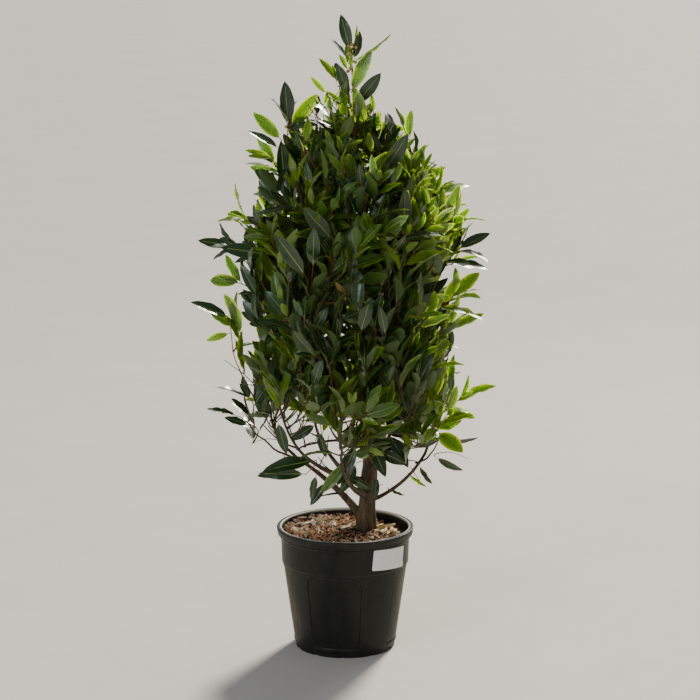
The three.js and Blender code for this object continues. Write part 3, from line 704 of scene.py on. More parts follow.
class MeshParts:
    """Points and faces of many small closed shapes, collected for one mesh."""

    def __init__(self):
        self.points = []
        self.faces = []
        self.slots = []
        self.marks = []
        self.count = 0

    def add(self, points, face_lists, slots=None, marks=None):
        points = np.asarray(points, float).reshape(-1, 3)
        for number, faces in enumerate(face_lists):
            faces = np.asarray(faces)
            self.faces.append(faces + self.count)
            worn = 0 if slots is None else slots[number]
            self.slots.append(np.broadcast_to(worn, len(faces)))
        self.points.append(points)
        self.marks.append(np.zeros((len(points), 2)) if marks is None else marks.reshape(-1, 2))
        self.count += len(points)

    def build(self, name, materials, sharp_from=math.radians(50)):
        """Makes the object, with a map of the marks, and rides it on the plant's body."""
        mesh = bpy.data.meshes.new(name)
        corners = np.concatenate([faces.ravel() for faces in self.faces]).astype(np.int32)
        sides = np.concatenate([np.full(len(faces), faces.shape[1]) for faces in self.faces])
        mesh.vertices.add(self.count)
        mesh.vertices.foreach_set("co", np.concatenate(self.points).astype(np.float32).ravel())
        mesh.loops.add(len(corners))
        mesh.loops.foreach_set("vertex_index", corners)
        mesh.polygons.add(len(sides))
        starts = np.concatenate(((0,), np.cumsum(sides)[:-1])).astype(np.int32)
        mesh.polygons.foreach_set("loop_start", starts)
        mesh.polygons.foreach_set("material_index", np.concatenate(self.slots).astype(np.int32))
        mesh.update(calc_edges=True)
        marks = mesh.uv_layers.new(name="marks")
        marks.data.foreach_set("uv", np.concatenate(self.marks)[corners].astype(np.float32).ravel())
        mesh.set_sharp_from_angle(angle=sharp_from)
        for material in materials:
            mesh.materials.append(material)
        if mesh.validate():
            raise RuntimeError(f"the mesh of {name} has faulty faces")
        piece = bpy.data.objects.new(name, mesh)
        bpy.context.scene.collection.objects.link(piece)
        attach(piece, BODY)
        return piece


def tube_faces(rings, sides):
    """Faces of a closed tube whose points are its start, its rings in turn and its end."""
    ring = np.arange(rings - 1)[:, None] * sides
    side = np.arange(sides)[None, :]
    after = (side + 1) % sides
    walls = [ring + side, ring + after, ring + sides + after, ring + sides + side]
    walls = np.stack(np.broadcast_arrays(*walls), axis=-1).reshape(-1, 4) + 1
    here, there = side[0] + 1, after[0] + 1
    last = (rings - 1) * sides
    start = np.stack((np.zeros(sides, int), there, here), axis=-1)
    end = np.stack((np.full(sides, rings * sides + 1), here + last, there + last), axis=-1)
    return walls, start, end


def copied(faces, count, points_each):
    """The same faces for many shapes whose points follow each other."""
    offsets = np.arange(count)[:, None, None] * points_each
    return (faces[None] + offsets).reshape(-1, faces.shape[1])


def add_tube(parts, path, radii, sides, slot=0):
    """Adds a round limb along a path. Its radii are one for each ring, or one for each point."""
    path = np.asarray(path)
    along = unit(np.gradient(path, axis=0))
    side = unit(np.cross(along[0], sideways(along[0])))
    turns = full_circle(sides)
    radii = np.broadcast_to(np.asarray(radii).reshape(len(path), -1), (len(path), sides))
    rings = []
    for centre, direction, radius in zip(path, along, radii):
        side = unit(side - direction * side.dot(direction))
        top = np.cross(direction, side)
        spokes = np.cos(turns)[:, None] * side + np.sin(turns)[:, None] * top
        rings.append(centre + spokes * radius[:, None])
    points = np.concatenate((path[:1], np.concatenate(rings), path[-1:]))
    parts.add(points, tube_faces(len(path), sides), [slot] * 3)


def add_lathe(parts, rings, slot=0):
    """Adds a closed shape of level rings of points, from its bottom middle to its top middle."""
    sides = len(rings[0])
    start = rings[0].mean(axis=0)
    end = rings[-1].mean(axis=0)
    points = np.concatenate((start[None], np.concatenate(rings), end[None]))
    parts.add(points, tube_faces(len(rings), sides), [slot] * 3)


def add_slab(parts, front, back, slot=0):
    """Adds a closed plate between two grids of points."""
    rows, columns = front.shape[:2]
    index = np.arange(rows * columns).reshape(rows, columns)
    corners = (index[:-1, :-1], index[:-1, 1:], index[1:, 1:], index[1:, :-1])
    cells = np.stack(corners, axis=-1).reshape(-1, 4)
    rim = np.concatenate((index[0, :-1], index[:-1, -1], index[-1, :0:-1], index[:0:-1, 0]))
    after = np.roll(rim, -1)
    behind = rows * columns
    edge = np.stack((after, rim, rim + behind, after + behind), axis=-1)
    points = np.concatenate((front.reshape(-1, 3), back.reshape(-1, 3)))
    parts.add(points, (cells, cells[:, ::-1] + behind, edge), [slot] * 3)


# Settings that a user would change


def strength(name, default, description, **limits):
    return FloatProperty(name=name, description=description, default=default, **limits)


def size(name, default, description):
    return strength(name, default, description, subtype="DISTANCE", unit="LENGTH")


def factor(name, default, description):
    return strength(name, default, description, subtype="FACTOR", min=0, max=1)


def colour(name, default, description):
    return FloatVectorProperty(
        name=name, description=description, default=default, subtype="COLOR", size=3, min=0, max=1
    )


def number_of(name, default, description, at_least):
    return IntProperty(name=name, description=description, default=default, min=at_least)


class PotSettings(PropertyGroup):
    height: size("Height", POT_HIGH.z, "From the underside to the rim")
    rim_radius: size("Rim radius", POT_HIGH.x, "Outer radius of the rolled rim")
    rim_band: size("Rim band", RIM_BAND, "Height of the rim's outer band")
    mouth_radius: size("Mouth radius", 0.1395, "Inner radius at the rim")
    foot_radius: size("Foot radius", 0.1095, "Radius of the foot ring")
    plastic: colour("Plastic", (0.0112, 0.0118, 0.0088), "Colour of the black plastic")
    # Worn plastic is also the colour of the pale lip band, which is partly a painted highlight
    worn: colour("Worn plastic", (0.62, 0.61, 0.55), "Colour where the rim is rubbed")
    stain: colour("Stain", (0.105, 0.045, 0.018), "Colour of the splashed soil low on the left")
    dust: colour("Dust", (0.13, 0.125, 0.095), "Colour of the dust that lies on the plastic")


class LabelSettings(PropertyGroup):
    width: size("Width", 0.094, "Width of the blank label")
    height: size("Height", 0.046, "Height of the blank label")
    paper: colour("Paper", (0.97, 0.97, 0.96), "Colour of the paper")


class SoilSettings(PropertyGroup):
    edge_height: size("Edge height", 0.248, "Height of the mulch at the pot's wall")
    mound: size("Mound", 0.005, "Rise of the mulch towards the middle")
    chip_length: size("Chip length", 0.0130, "Usual length of a bark chip")
    chips: number_of("Chips", 3600, "Number of bark chips", 0)
    fibres: number_of("Fibres", 180, "Number of thin fibres", 0)
    rusty: colour("Rusty bark", (0.57, 0.255, 0.105), "Colour of most chips")
    dark: colour("Dark bark", (0.055, 0.030, 0.018), "Colour of the wet and shaded chips")
    pale: colour("Pale wood", (0.85, 0.70, 0.45), "Colour of the chips that show bare wood")
    compost: colour("Compost", (0.020, 0.012, 0.008), "Colour between the chips")


class LimbSettings(PropertyGroup):
    trunk_radius: size("Trunk radius", 0.0185, "Radius above the root flare")
    tip_radius: size("Trunk tip radius", 0.006, "Radius where the leader takes over")
    flare: size("Root flare", 0.006, "How much wider the trunk is at the soil")
    relief: size("Bark relief", 0.0010, "Height of the bark's ridges")
    bark: colour("Bark", (0.165, 0.115, 0.058), "Grey-brown of the old bark")
    bark_dark: colour("Dark bark", (0.030, 0.022, 0.012), "Colour in the bark's hollows")
    twig: colour("Twig", (0.060, 0.036, 0.020), "Brown of the woody twigs")
    olive: colour("Olive twig", (0.085, 0.090, 0.028), "Olive green of the twigs in between")
    young: colour("Young twig", (0.21, 0.070, 0.022), "Red-brown of the young twigs")


class LeafSettings(PropertyGroup):
    shoots: number_of("Shoots", 25, "Shoots on each bough's stem", 1)
    side_twigs: number_of("Side twigs", 2, "Finer twigs on each shoot", 0)
    length: size("Leaf length", 0.100, "Usual length of a blade")
    slimness: factor("Leaf slimness", 0.34, "Width of a blade as a share of its length")
    deep: colour("Deep green", (0.014, 0.044, 0.007), "Old leaves in the shade")
    # Blue green is partly a painted reflection of the sky on the glossy leaves
    blue: colour("Blue green", (0.021, 0.057, 0.020), "Old leaves that face the sky")
    middle: colour("Middle green", (0.037, 0.098, 0.007), "Most leaves")
    # Light green is partly painted sunlight shining through the leaves
    light: colour("Light green", (0.062, 0.135, 0.004), "Younger leaves")
    young: colour("Young green", (0.105, 0.20, 0.003), "Leaves that the light shines through")
    old: colour("Old leaf", (0.22, 0.12, 0.012), "A few leaves about to drop")
    rib: colour("Midrib", (0.34, 0.42, 0.08), "Pale midribs")
    stalk: colour("Stalk", (0.28, 0.075, 0.022), "Reddish leaf stalks")
    bud: colour("Bud", (0.52, 0.34, 0.07), "Round yellow buds")
    dry: colour("Dry leaf", (0.60, 0.46, 0.19), "Fallen leaves on the mulch")


class StageSettings(PropertyGroup):
    floor: colour("Floor", (0.64, 0.61, 0.55), "Plain pale floor")
    sun: strength("Sun", 6.0, "Strength of the soft sun from the back right")
    rim: strength("Rim light", 25, "Power of the light behind", unit="POWER")
    fill: strength("Fill light", 72, "Power of the front left light", unit="POWER")
    sky: strength("Sky", 0.26, "Strength of the even light all round")


# Material tools


class NodeBench:
    """Adds nodes to one tree and joins them."""

    def __init__(self, tree):
        self.tree = tree

    def add(self, kind, **settings):
        node = self.tree.nodes.new(kind)
        for name, value in settings.items():
            setattr(node, name, value)
        return node

    def join(self, source, target):
        self.tree.links.new(source, target)

    def feed(self, socket, value):
        """Sets a socket, or joins it to another node's output."""
        if isinstance(value, bpy.types.NodeSocket):
            self.join(value, socket)
        else:
            socket.default_value = value

    def math(self, operation, first, second=0.0, third=0.0):
        node = self.add("ShaderNodeMath", operation=operation)
        for socket, value in zip(node.inputs, (first, second, third)):
            self.feed(socket, value)
        return node.outputs[0]

    def product(self, first, *others):
        for value in others:
            first = self.math("MULTIPLY", first, value)
        return first

    def place(self):
        return self.add("ShaderNodeTexCoord").outputs["Object"]

    def parts_of(self, vector):
        """The X, Y and Z of a vector."""
        node = self.add("ShaderNodeSeparateXYZ")
        self.join(vector, node.inputs[0])
        return node.outputs

    def noise(self, vector, scale, detail=3.0, roughness=0.5):
        node = self.add("ShaderNodeTexNoise")
        self.join(vector, node.inputs["Vector"])
        self.feed(node.inputs["Scale"], scale)
        node.inputs["Detail"].default_value = detail
        node.inputs["Roughness"].default_value = roughness
        return node.outputs["Fac"]

    def spread(self, value, low, high, to_low=0.0, to_high=1.0):
        node = self.add("ShaderNodeMapRange", clamp=True)
        for name, given in (("Value", value), ("From Min", low), ("From Max", high)):
            self.feed(node.inputs[name], given)
        self.feed(node.inputs["To Min"], to_low)
        self.feed(node.inputs["To Max"], to_high)
        return node.outputs["Result"]

    def blend(self, share, first, second):
        node = self.add("ShaderNodeMix", data_type="RGBA")
        self.feed(node.inputs["Factor"], share)
        self.feed(node.inputs["A"], first)
        self.feed(node.inputs["B"], second)
        return node.outputs["Result"]

    def stretched(self, across, along):
        """Object coordinates drawn out along Z."""
        mapping = self.add("ShaderNodeMapping")
        mapping.inputs["Scale"].default_value = (across, across, along)
        self.join(self.place(), mapping.inputs["Vector"])
        return mapping.outputs["Vector"]


def rgba(value):
    return (*value, 1.0)


def times(shade, share):
    return tuple(share * value for value in shade)


def towards(shade, other, share):
    return tuple(mix(value, goal, share) for value, goal in zip(shade, other))


def new_group(name, inputs, outputs):
    """An empty node group with named inputs (and their defaults) and named outputs."""
    tree = bpy.data.node_groups.new(name, "ShaderNodeTree")
    for label, default in inputs.items():
        kind = "NodeSocketColor" if isinstance(default, tuple) else "NodeSocketFloat"
        socket = tree.interface.new_socket(name=label, in_out="INPUT", socket_type=kind)
        socket.default_value = default
    for label in outputs:
        tree.interface.new_socket(name=label, in_out="OUTPUT", socket_type="NodeSocketFloat")
    bench = NodeBench(tree)
    return bench, bench.add("NodeGroupInput").outputs, bench.add("NodeGroupOutput").inputs


def group_named(name, maker):
    return bpy.data.node_groups.get(name) or maker(name)


def make_grain(name):
    """Fine mottling: a share from 0 to 1 that varies over the surface, and a height for relief."""
    bench, given, out = new_group(name, {"Scale": 60.0, "Stretch": 1.0}, ("Share", "Height"))
    drawn = bench.add("ShaderNodeVectorMath", operation="MULTIPLY")
    shape = bench.add("ShaderNodeCombineXYZ")
    shape.inputs["X"].default_value = 1.0
    shape.inputs["Y"].default_value = 1.0
    bench.join(given["Stretch"], shape.inputs["Z"])
    bench.join(bench.place(), drawn.inputs[0])
    bench.join(shape.outputs[0], drawn.inputs[1])
    broad = bench.noise(drawn.outputs[0], given["Scale"], 4.0, 0.6)
    fine = bench.noise(drawn.outputs[0], bench.product(given["Scale"], 6.0), 2.0)
    both = bench.math("ADD", bench.product(broad, 0.7), bench.product(fine, 0.3))
    bench.join(bench.spread(both, 0.36, 0.64), out["Share"])
    bench.join(both, out["Height"])
    return bench.tree


def make_dust(name):
    """Dust: a mask that is stronger on faces that look up and in blotches."""
    bench, given, out = new_group(name, {"Amount": 0.5, "Scale": 30.0}, ("Mask",))
    facing = bench.parts_of(bench.add("ShaderNodeNewGeometry").outputs["Normal"])
    level = bench.spread(facing["Z"], -0.2, 0.9, 0.25, 1.0)
    blotches = bench.spread(bench.noise(bench.place(), given["Scale"], 5.0, 0.65), 0.42, 0.70)
    bench.join(bench.product(level, blotches, given["Amount"]), out["Mask"])
    return bench.tree


def make_wear(name):
    """Rubbed edges: a mask that shows on ridges, broken up by noise."""
    bench, given, out = new_group(name, {"Amount": 1.0, "Scale": 90.0}, ("Mask",))
    ridge = bench.spread(bench.add("ShaderNodeNewGeometry").outputs["Pointiness"], 0.505, 0.56)
    broken = bench.spread(bench.noise(bench.place(), given["Scale"], 4.0, 0.7), 0.35, 0.62)
    bench.join(bench.product(ridge, broken, given["Amount"]), out["Mask"])
    return bench.tree


def make_stain(name):
    """Splashed soil in one streaky patch: strongest at its middle, and drawn out upwards."""
    bench, _, out = new_group(name, {}, ("Mask",))
    reach = 0.0
    for value, middle, half in zip(bench.parts_of(bench.place()), STAIN_MIDDLE, STAIN_HALF):
        offset = bench.math("DIVIDE", bench.math("SUBTRACT", value, middle), half)
        reach = bench.math("ADD", reach, bench.product(offset, offset))
    patch = bench.spread(reach, 1.0, 0.1)
    streaks = bench.spread(bench.noise(bench.stretched(60.0, 12.0), 1.0, 4.0, 0.65), 0.40, 0.66)
    bench.join(bench.product(patch, streaks), out["Mask"])
    return bench.tree


def make_veins(name):
    """Leaf veins from the marks: side veins as a height, and a mask of the pale margin, which is partly
    painted rim light.
    """
    bench, given, out = new_group(name, {"Count": 11.0, "Slant": 2.2}, ("Height", "Margin"))
    marks = bench.parts_of(bench.add("ShaderNodeUVMap", uv_map="marks").outputs["UV"])
    across = bench.product(marks["X"], 2.0)
    side = bench.math("ABSOLUTE", bench.math("SUBTRACT", across, 1.0))
    run = bench.product(marks["Y"], given["Count"])
    run = bench.math("SUBTRACT", run, bench.product(side, given["Slant"]))
    wave = bench.math("ABSOLUTE", bench.math("SINE", bench.product(run, math.pi)))
    bench.join(bench.math("POWER", wave, 0.35), out["Height"])
    bench.join(bench.spread(side, 0.90, 0.98), out["Margin"])
    return bench.tree


class Finish:
    """A material under construction, with its Principled shader and object coordinates."""

    def __init__(self, name, roughness, **sockets):
        self.material = bpy.data.materials.new(name)
        self.material.use_nodes = True
        self.bench = NodeBench(self.material.node_tree)
        self.shader = self.material.node_tree.nodes["Principled BSDF"]
        self.shader.inputs["Roughness"].default_value = roughness
        for label, value in sockets.items():
            self.shader.inputs[label.replace("_", " ")].default_value = value

    def group(self, name, maker, **values):
        node = self.bench.add("ShaderNodeGroup", node_tree=group_named(name, maker))
        for label, value in values.items():
            node.inputs[label].default_value = value
        return node.outputs

    def colour(self, source):
        self.bench.feed(self.shader.inputs["Base Color"], source)

    def let_light_through(self, weight, reach):
        """Light that falls on the back of a thin leaf shows through it, more yellow than green."""
        self.shader.inputs["Subsurface Weight"].default_value = weight
        self.shader.inputs["Subsurface Radius"].default_value = LEAF_GLOW_COLOUR
        self.shader.inputs["Subsurface Scale"].default_value = reach

    def roughness(self, source):
        self.bench.join(source, self.shader.inputs["Roughness"])

    def relief(self, height, depth, strength=0.5):
        bump = self.bench.add("ShaderNodeBump")
        bump.inputs["Distance"].default_value = depth
        bump.inputs["Strength"].default_value = strength
        self.bench.join(height, bump.inputs["Height"])
        self.bench.join(bump.outputs["Normal"], self.shader.inputs["Normal"])


def plastic_finish(settings):
    finish = Finish("black_plastic", 0.42, Specular_IOR_Level=0.18)
    grain = finish.group("Grain", make_grain, Scale=70.0, Stretch=0.25)
    dust = finish.group("Dust", make_dust, Amount=0.10, Scale=22.0)
    wear = finish.group("Worn edges", make_wear, Amount=0.1)
    bench = finish.bench
    plain = bench.blend(grain["Share"], rgba(settings.plastic), rgba(times(settings.plastic, 1.7)))
    rubbed = bench.blend(wear["Mask"], plain, rgba(settings.worn))
    stained = bench.blend(finish.group("Stain", make_stain)["Mask"], rubbed, rgba(settings.stain))
    x, y, z = bench.parts_of(bench.place())
    reach = bench.math("SQRT", bench.math("MULTIPLY_ADD", x, x, bench.product(y, y)))
    # The pale band just inside the lip: partly wear, partly a painted highlight
    high = bench.spread(z, *(settings.height - depth for depth in LIP_WEAR_AND_HIGHLIGHT_BAND))
    band_from, band_to = (settings.mouth_radius + width for width in (LIP_WEAR_AND_HIGHLIGHT_FROM, LIP_WEAR_AND_HIGHLIGHT_TO))
    lip_wear_and_highlight = bench.product(high, bench.spread(reach, band_from, band_to, LIP_WEAR_AND_HIGHLIGHT, 0.0))
    dusty = bench.blend(dust["Mask"], stained, rgba(settings.dust))
    finish.colour(bench.blend(lip_wear_and_highlight, dusty, rgba(settings.worn)))
    rough = bench.spread(grain["Share"], 0.0, 1.0, 0.36, 0.50)
    finish.roughness(bench.math("ADD", rough, bench.product(dust["Mask"], 0.3)))
    finish.relief(grain["Height"], 0.0006, 0.35)
    return finish.material


def paper_finish(settings):
    finish = Finish("label_paper", 0.5)
    grain = finish.group("Grain", make_grain, Scale=120.0, Stretch=1.0)
    dust = finish.group("Dust", make_dust, Amount=0.12, Scale=60.0)
    bench = finish.bench
    plain = bench.blend(grain["Share"], rgba(settings.paper), rgba(times(settings.paper, 0.9)))
    finish.colour(bench.blend(dust["Mask"], plain, rgba(PAPER_DUST)))
    finish.relief(grain["Height"], 0.0002, 0.3)
    return finish.material


def mulch_finish(name, base, varied, scale):
    finish = Finish(name, 0.85)
    grain = finish.group("Grain", make_grain, Scale=scale, Stretch=1.0)
    finish.colour(finish.bench.blend(grain["Share"], rgba(base), rgba(varied)))
    finish.relief(grain["Height"], 0.0008, 0.7)
    return finish.material


def bark_finish(name, base, hollow, scale, stretch, depth):
    finish = Finish(name, 0.8)
    grain = finish.group("Grain", make_grain, Scale=scale, Stretch=stretch)
    dust = finish.group("Dust", make_dust, Amount=0.35, Scale=40.0)
    bench = finish.bench
    plain = bench.blend(grain["Share"], rgba(hollow), rgba(base))
    lichen = times((base[0], base[1] * 1.1, base[2] * 1.1), 1.5)
    finish.colour(bench.blend(dust["Mask"], plain, rgba(lichen)))
    finish.roughness(bench.spread(grain["Share"], 0.0, 1.0, 0.9, 0.68))
    finish.relief(grain["Height"], depth, 0.8)
    return finish.material


def leaf_finish(name, base, roughness, margin, glow):
    """Glossy blade: plain base colour with light mottling, side veins in relief and a paler margin,
    partly painted rim light.
    """
    finish = Finish(name, roughness, Coat_Weight=0.22, Coat_Roughness=0.22)
    finish.let_light_through(glow, LEAF_GLOW_REACH)
    grain = finish.group("Grain", make_grain, Scale=38.0, Stretch=1.0)
    veins = finish.group("Leaf veins", make_veins, Count=11.0, Slant=2.2)
    bench = finish.bench
    mottled = bench.blend(grain["Share"], rgba(times(base, 0.92)), rgba(times(base, 1.08)))
    margin_and_rim_light_mask = bench.product(veins["Margin"], 0.6)
    finish.colour(bench.blend(margin_and_rim_light_mask, mottled, rgba(margin)))
    finish.roughness(bench.spread(grain["Share"], 0.0, 1.0, roughness + 0.06, roughness - 0.05))
    finish.relief(veins["Height"], 0.0002, 0.35)
    return finish.material


def stalk_finish(name, base, roughness=0.45):
    finish = Finish(name, roughness)
    grain = finish.group("Grain", make_grain, Scale=90.0, Stretch=0.6)
    finish.colour(finish.bench.blend(grain["Share"], rgba(times(base, 0.65)), rgba(base)))
    finish.relief(grain["Height"], 0.0003, 0.4)
    return finish.material


# Pot


def wall_radius(height):
    lower = mix(WALL_FOOT_RADIUS, STEP_RADIUS, (height - FOOT_HEIGHT) / (STEP_HEIGHT - FOOT_HEIGHT))
    band_share = (height - STEP_HEIGHT) / (POT_HIGH.z - RIM_BAND - STEP_HEIGHT)
    upper = mix(STEP_RADIUS + STEP_DEPTH, BAND_TOP_RADIUS, band_share)
    return mix(lower, upper, smooth_step(STEP_HEIGHT - STEP_BELOW, STEP_HEIGHT + STEP_ABOVE, height))


def inside_radius(height, mouth):
    return min(wall_radius(max(height, FOOT_HEIGHT)) - POT_WALL, mouth)


def panel_mask(height, turns):
    """1 inside the four sunk arches, 0 outside, and soft at their edges."""
    step = 2 * math.pi / PANEL_COUNT
    offset = np.abs((turns - FIRST_PANEL + step / 2) % step - step / 2)
    from_side = (PANEL_HALF_ANGLE - offset) * STEP_RADIUS
    into_corner = np.clip(PANEL_CORNER - from_side, 0, PANEL_CORNER)
    top = PANEL_TOP - PANEL_CORNER + np.sqrt(PANEL_CORNER**2 - into_corner**2)
    inside = smooth_step(-PANEL_EDGE / 2, PANEL_EDGE / 2, from_side)
    inside = inside * smooth_step(-PANEL_EDGE / 2, PANEL_EDGE / 2, top - height)
    return inside * smooth_step(-PANEL_EDGE, PANEL_EDGE, height - PANEL_BOTTOM)


def notch_mask(height, turns):
    """1 in the short slots under the foot ring, where water runs out."""
    step = 2 * math.pi / NOTCH_COUNT
    offset = np.abs((turns + step / 3) % step - step / 2)
    inside = smooth_step(NOTCH_HALF_ANGLE * NOTCH_FLARE, NOTCH_HALF_ANGLE, offset)
    return inside * smooth_step(NOTCH_HEIGHT + NOTCH_SOFTNESS, NOTCH_HEIGHT - NOTCH_SOFTNESS, height)


def arc(centre_radius, centre_height, size_of, start, end, count):
    """Points of a quarter round or the like, as radius and height."""
    turns = np.radians(np.linspace(start, end, count))
    out, up = np.cos(turns) * size_of, np.sin(turns) * size_of
    return list(zip(centre_radius + out, centre_height + up))


def wall_heights(rim_bottom):
    """Heights of the wall's rings, closest together where the arches end and at the step."""
    arch_foot = PANEL_TOP - PANEL_CORNER
    spans = (
        (FOOT_HEIGHT + 2 * RING_GAP, PANEL_BOTTOM + 4 * RING_GAP, 10),
        (PANEL_BOTTOM + 8 * RING_GAP, arch_foot, 28),
        (arch_foot + RING_GAP, STEP_HEIGHT + 3 * RING_GAP, 36),
        (STEP_HEIGHT + 7 * RING_GAP, rim_bottom - 8 * RING_GAP, 13),
    )
    return np.concatenate([np.linspace(*span) for span in spans])


def foot_profile(foot_radius):
    """The underside and the foot ring, up to where the wall begins."""
    turned = FOOT_ROUNDING
    profile = [(radius, 0.0) for radius in UNDERSIDE_RADII]
    profile += arc(foot_radius - turned, turned, turned, -90, 0, 4)
    profile += [(foot_radius, height) for height in np.linspace(3 * RING_GAP, FOOT_HEIGHT - turned, 7)]
    profile += [(foot_radius + FOOT_LEDGE, FOOT_HEIGHT - FOOT_LEDGE_DROP)]
    return profile + arc(WALL_FOOT_RADIUS - turned, FOOT_HEIGHT + turned, turned, -90, 0, 4)


def rim_profile(pot, bottom):
    """The bead under the rim, the rim's outside and its rolled lip."""
    corner = RIM_CORNER
    profile = arc(wall_radius(bottom) - BEAD_SINK, bottom - BEAD_DROP, BEAD_RADIUS, -80, 80, 7)
    profile += arc(wall_radius(bottom) + corner, bottom - corner, corner, 180, 90, 4)
    profile += arc(pot.rim_radius - RIM_UNDERCUT, bottom + corner, corner, -90, 0, 4)
    profile += [(pot.rim_radius - inset, bottom + rise) for inset, rise in RIM_STEPS]
    profile += arc(pot.rim_radius - LIP_OUTSIDE, pot.height - LIP_OUTSIDE, LIP_OUTSIDE, 0, 90, 7)
    dip = pot.rim_radius - LIP_DIP_AT * (pot.rim_radius - pot.mouth_radius)
    profile += [(dip, pot.height - LIP_DIP)]
    return profile + arc(pot.mouth_radius + LIP_INSIDE, pot.height - LIP_INSIDE, LIP_INSIDE, 90, 180, 6)


def pot_profile(pot):
    """The pot's section as radius and height, from the middle of its underside, outside and in."""
    rim_bottom = pot.height - pot.rim_band
    profile = foot_profile(pot.foot_radius)
    profile += [(wall_radius(height), height) for height in wall_heights(rim_bottom)]
    profile += rim_profile(pot, rim_bottom)
    inner_heights = np.linspace(pot.height - 6 * RING_GAP, POT_FLOOR + 4 * RING_GAP, 30)
    profile += [(inside_radius(height, pot.mouth_radius), height) for height in inner_heights]
    floor_radii = (pot.foot_radius - POT_WALL, *UNDERSIDE_RADII[1::-1])
    return profile + [(radius, POT_FLOOR) for radius in floor_radii]


def pot_turns():
    """Directions of the pot's columns, closer together at the sides of the arches."""
    even = full_circle(POT_TURNS)
    middles = FIRST_PANEL + np.arange(PANEL_COUNT) * 2 * math.pi / PANEL_COUNT
    sides = np.concatenate((middles - PANEL_HALF_ANGLE, middles + PANEL_HALF_ANGLE))
    spread = np.linspace(-0.5, 0.5, EDGE_TURNS) * EDGE_SPAN / STEP_RADIUS
    close = (sides[:, None] + spread).ravel() % (2 * math.pi)
    return np.unique(np.round(np.concatenate((even, close)), 4))


def make_pot(pot):
    """The pot's wall with its sunk arches, step, rolled rim and notched foot ring."""
    turns = pot_turns()
    profile = pot_profile(pot)
    outer_end = max(range(len(profile)), key=lambda number: profile[number][1])
    rings = []
    for number, (radius, height) in enumerate(profile):
        spokes = np.full(len(turns), radius)
        if number < outer_end and radius > pot.foot_radius - FOOT_RING_WIDTH:
            sunk = panel_mask(height, turns)
            spokes -= PANEL_DEPTH * sunk + GROOVE_DEPTH * 4 * sunk * (1 - sunk)
            spokes -= NOTCH_DEPTH * notch_mask(height, turns)
        rings.append(level_ring(spokes, turns, height))
    parts = MeshParts()
    add_lathe(parts, rings)
    piece = parts.build("pot_shell", [plastic_finish(pot)], math.radians(60))
    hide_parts("pot")


# Label


def make_label(label):
    """A blank sheet with rounded corners on the pot's band. One corner has come a little loose."""
    half_width, half_height = label.width / 2, label.height / 2
    heights = np.linspace(-1, 1, LABEL_ROWS) * half_height
    from_end = half_height - np.abs(heights)
    into_corner = np.clip(LABEL_CORNER - from_end, 0, LABEL_CORNER)
    row_half = half_width - LABEL_CORNER + np.sqrt(LABEL_CORNER**2 - into_corner**2)
    across = np.linspace(-1, 1, LABEL_COLUMNS)[None, :] * row_half[:, None]
    up = np.repeat(heights[:, None], LABEL_COLUMNS, axis=1)
    x = across * math.cos(LABEL_TILT) - up * math.sin(LABEL_TILT)
    z = across * math.sin(LABEL_TILT) + up * math.cos(LABEL_TILT)
    from_right, from_low = LABEL_LOOSE_FROM
    loose = smooth_step(from_right, 1.0, across / half_width)
    loose = loose * smooth_step(from_low, 1.0, -up / half_height)
    height = LABEL_MIDDLE + z
    under = wall_radius(height) + LABEL_STANDOFF + LABEL_LIFT * loose
    turns = LABEL_TURN + x / wall_radius(LABEL_MIDDLE)
    directions = np.stack((np.cos(turns), np.sin(turns), np.zeros_like(turns)), axis=-1)
    lift = height[..., None] * UP
    front = directions * (under + LABEL_THICKNESS)[..., None] + lift
    parts = MeshParts()
    add_slab(parts, front, directions * under[..., None] + lift)
    piece = parts.build("label_sheet", [paper_finish(label)])
    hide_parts("label")


# Soil


def soil_height(x, y, soil, mouth):
    share = 1 - np.hypot(x, y) / mouth
    return soil.edge_height + soil.mound * share - (SOIL_TILT * x + SOIL_TILT_BACK * y) / mouth


def make_soil(soil, mouth):
    """The heap of compost inside the pot, with a rough top."""
    turns = full_circle(SOIL_TURNS)
    rings = [level_ring(SOIL_FOOT_RADIUS, turns, POT_FLOOR + SOIL_FLOOR_GAP)]
    for height in SOIL_WALL_HEIGHTS:
        rings.append(level_ring(inside_radius(height, mouth) - SOIL_CLEARANCE, turns, height))
    edge = inside_radius(soil.edge_height, mouth) - SOIL_CLEARANCE
    for radius in np.linspace(edge, SOIL_INNER_RADIUS, SOIL_RINGS):
        ring = level_ring(radius, turns, 0.0)
        x, y = ring[:, 0], ring[:, 1]
        rough = sum(
            np.array([SOIL_ROUGHNESS * ripple(a * scale, b * scale, start) for a, b in zip(x, y)])
            for scale, start in SOIL_LUMPS
        )
        ring[:, 2] = soil_height(x, y, soil, mouth) + rough - SOIL_SINK
        rings.append(ring)
    parts = MeshParts()
    add_lathe(parts, rings)
    finish = mulch_finish("compost", soil.compost, times(soil.compost, COMPOST_LIGHTENING), 160.0)
    piece = parts.build("compost_heap", [finish])
    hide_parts("soil")


def chip_points(random, length):
    """Eight jittered corners of a splinter, longest along X."""
    width, height = length * random.uniform(*CHIP_WIDTH), length * random.uniform(*CHIP_HEIGHT)
    corners = np.array([(x, y, z) for z in (-1, 1) for y in (-1, 1) for x in (-1, 1)], float)
    corners *= 0.5 * np.array((length, width, height))
    corners[:, 0] *= random.uniform(*CHIP_ENDS, 8)
    corners[:, 1] *= random.uniform(*CHIP_SIDES, 8)
    return corners


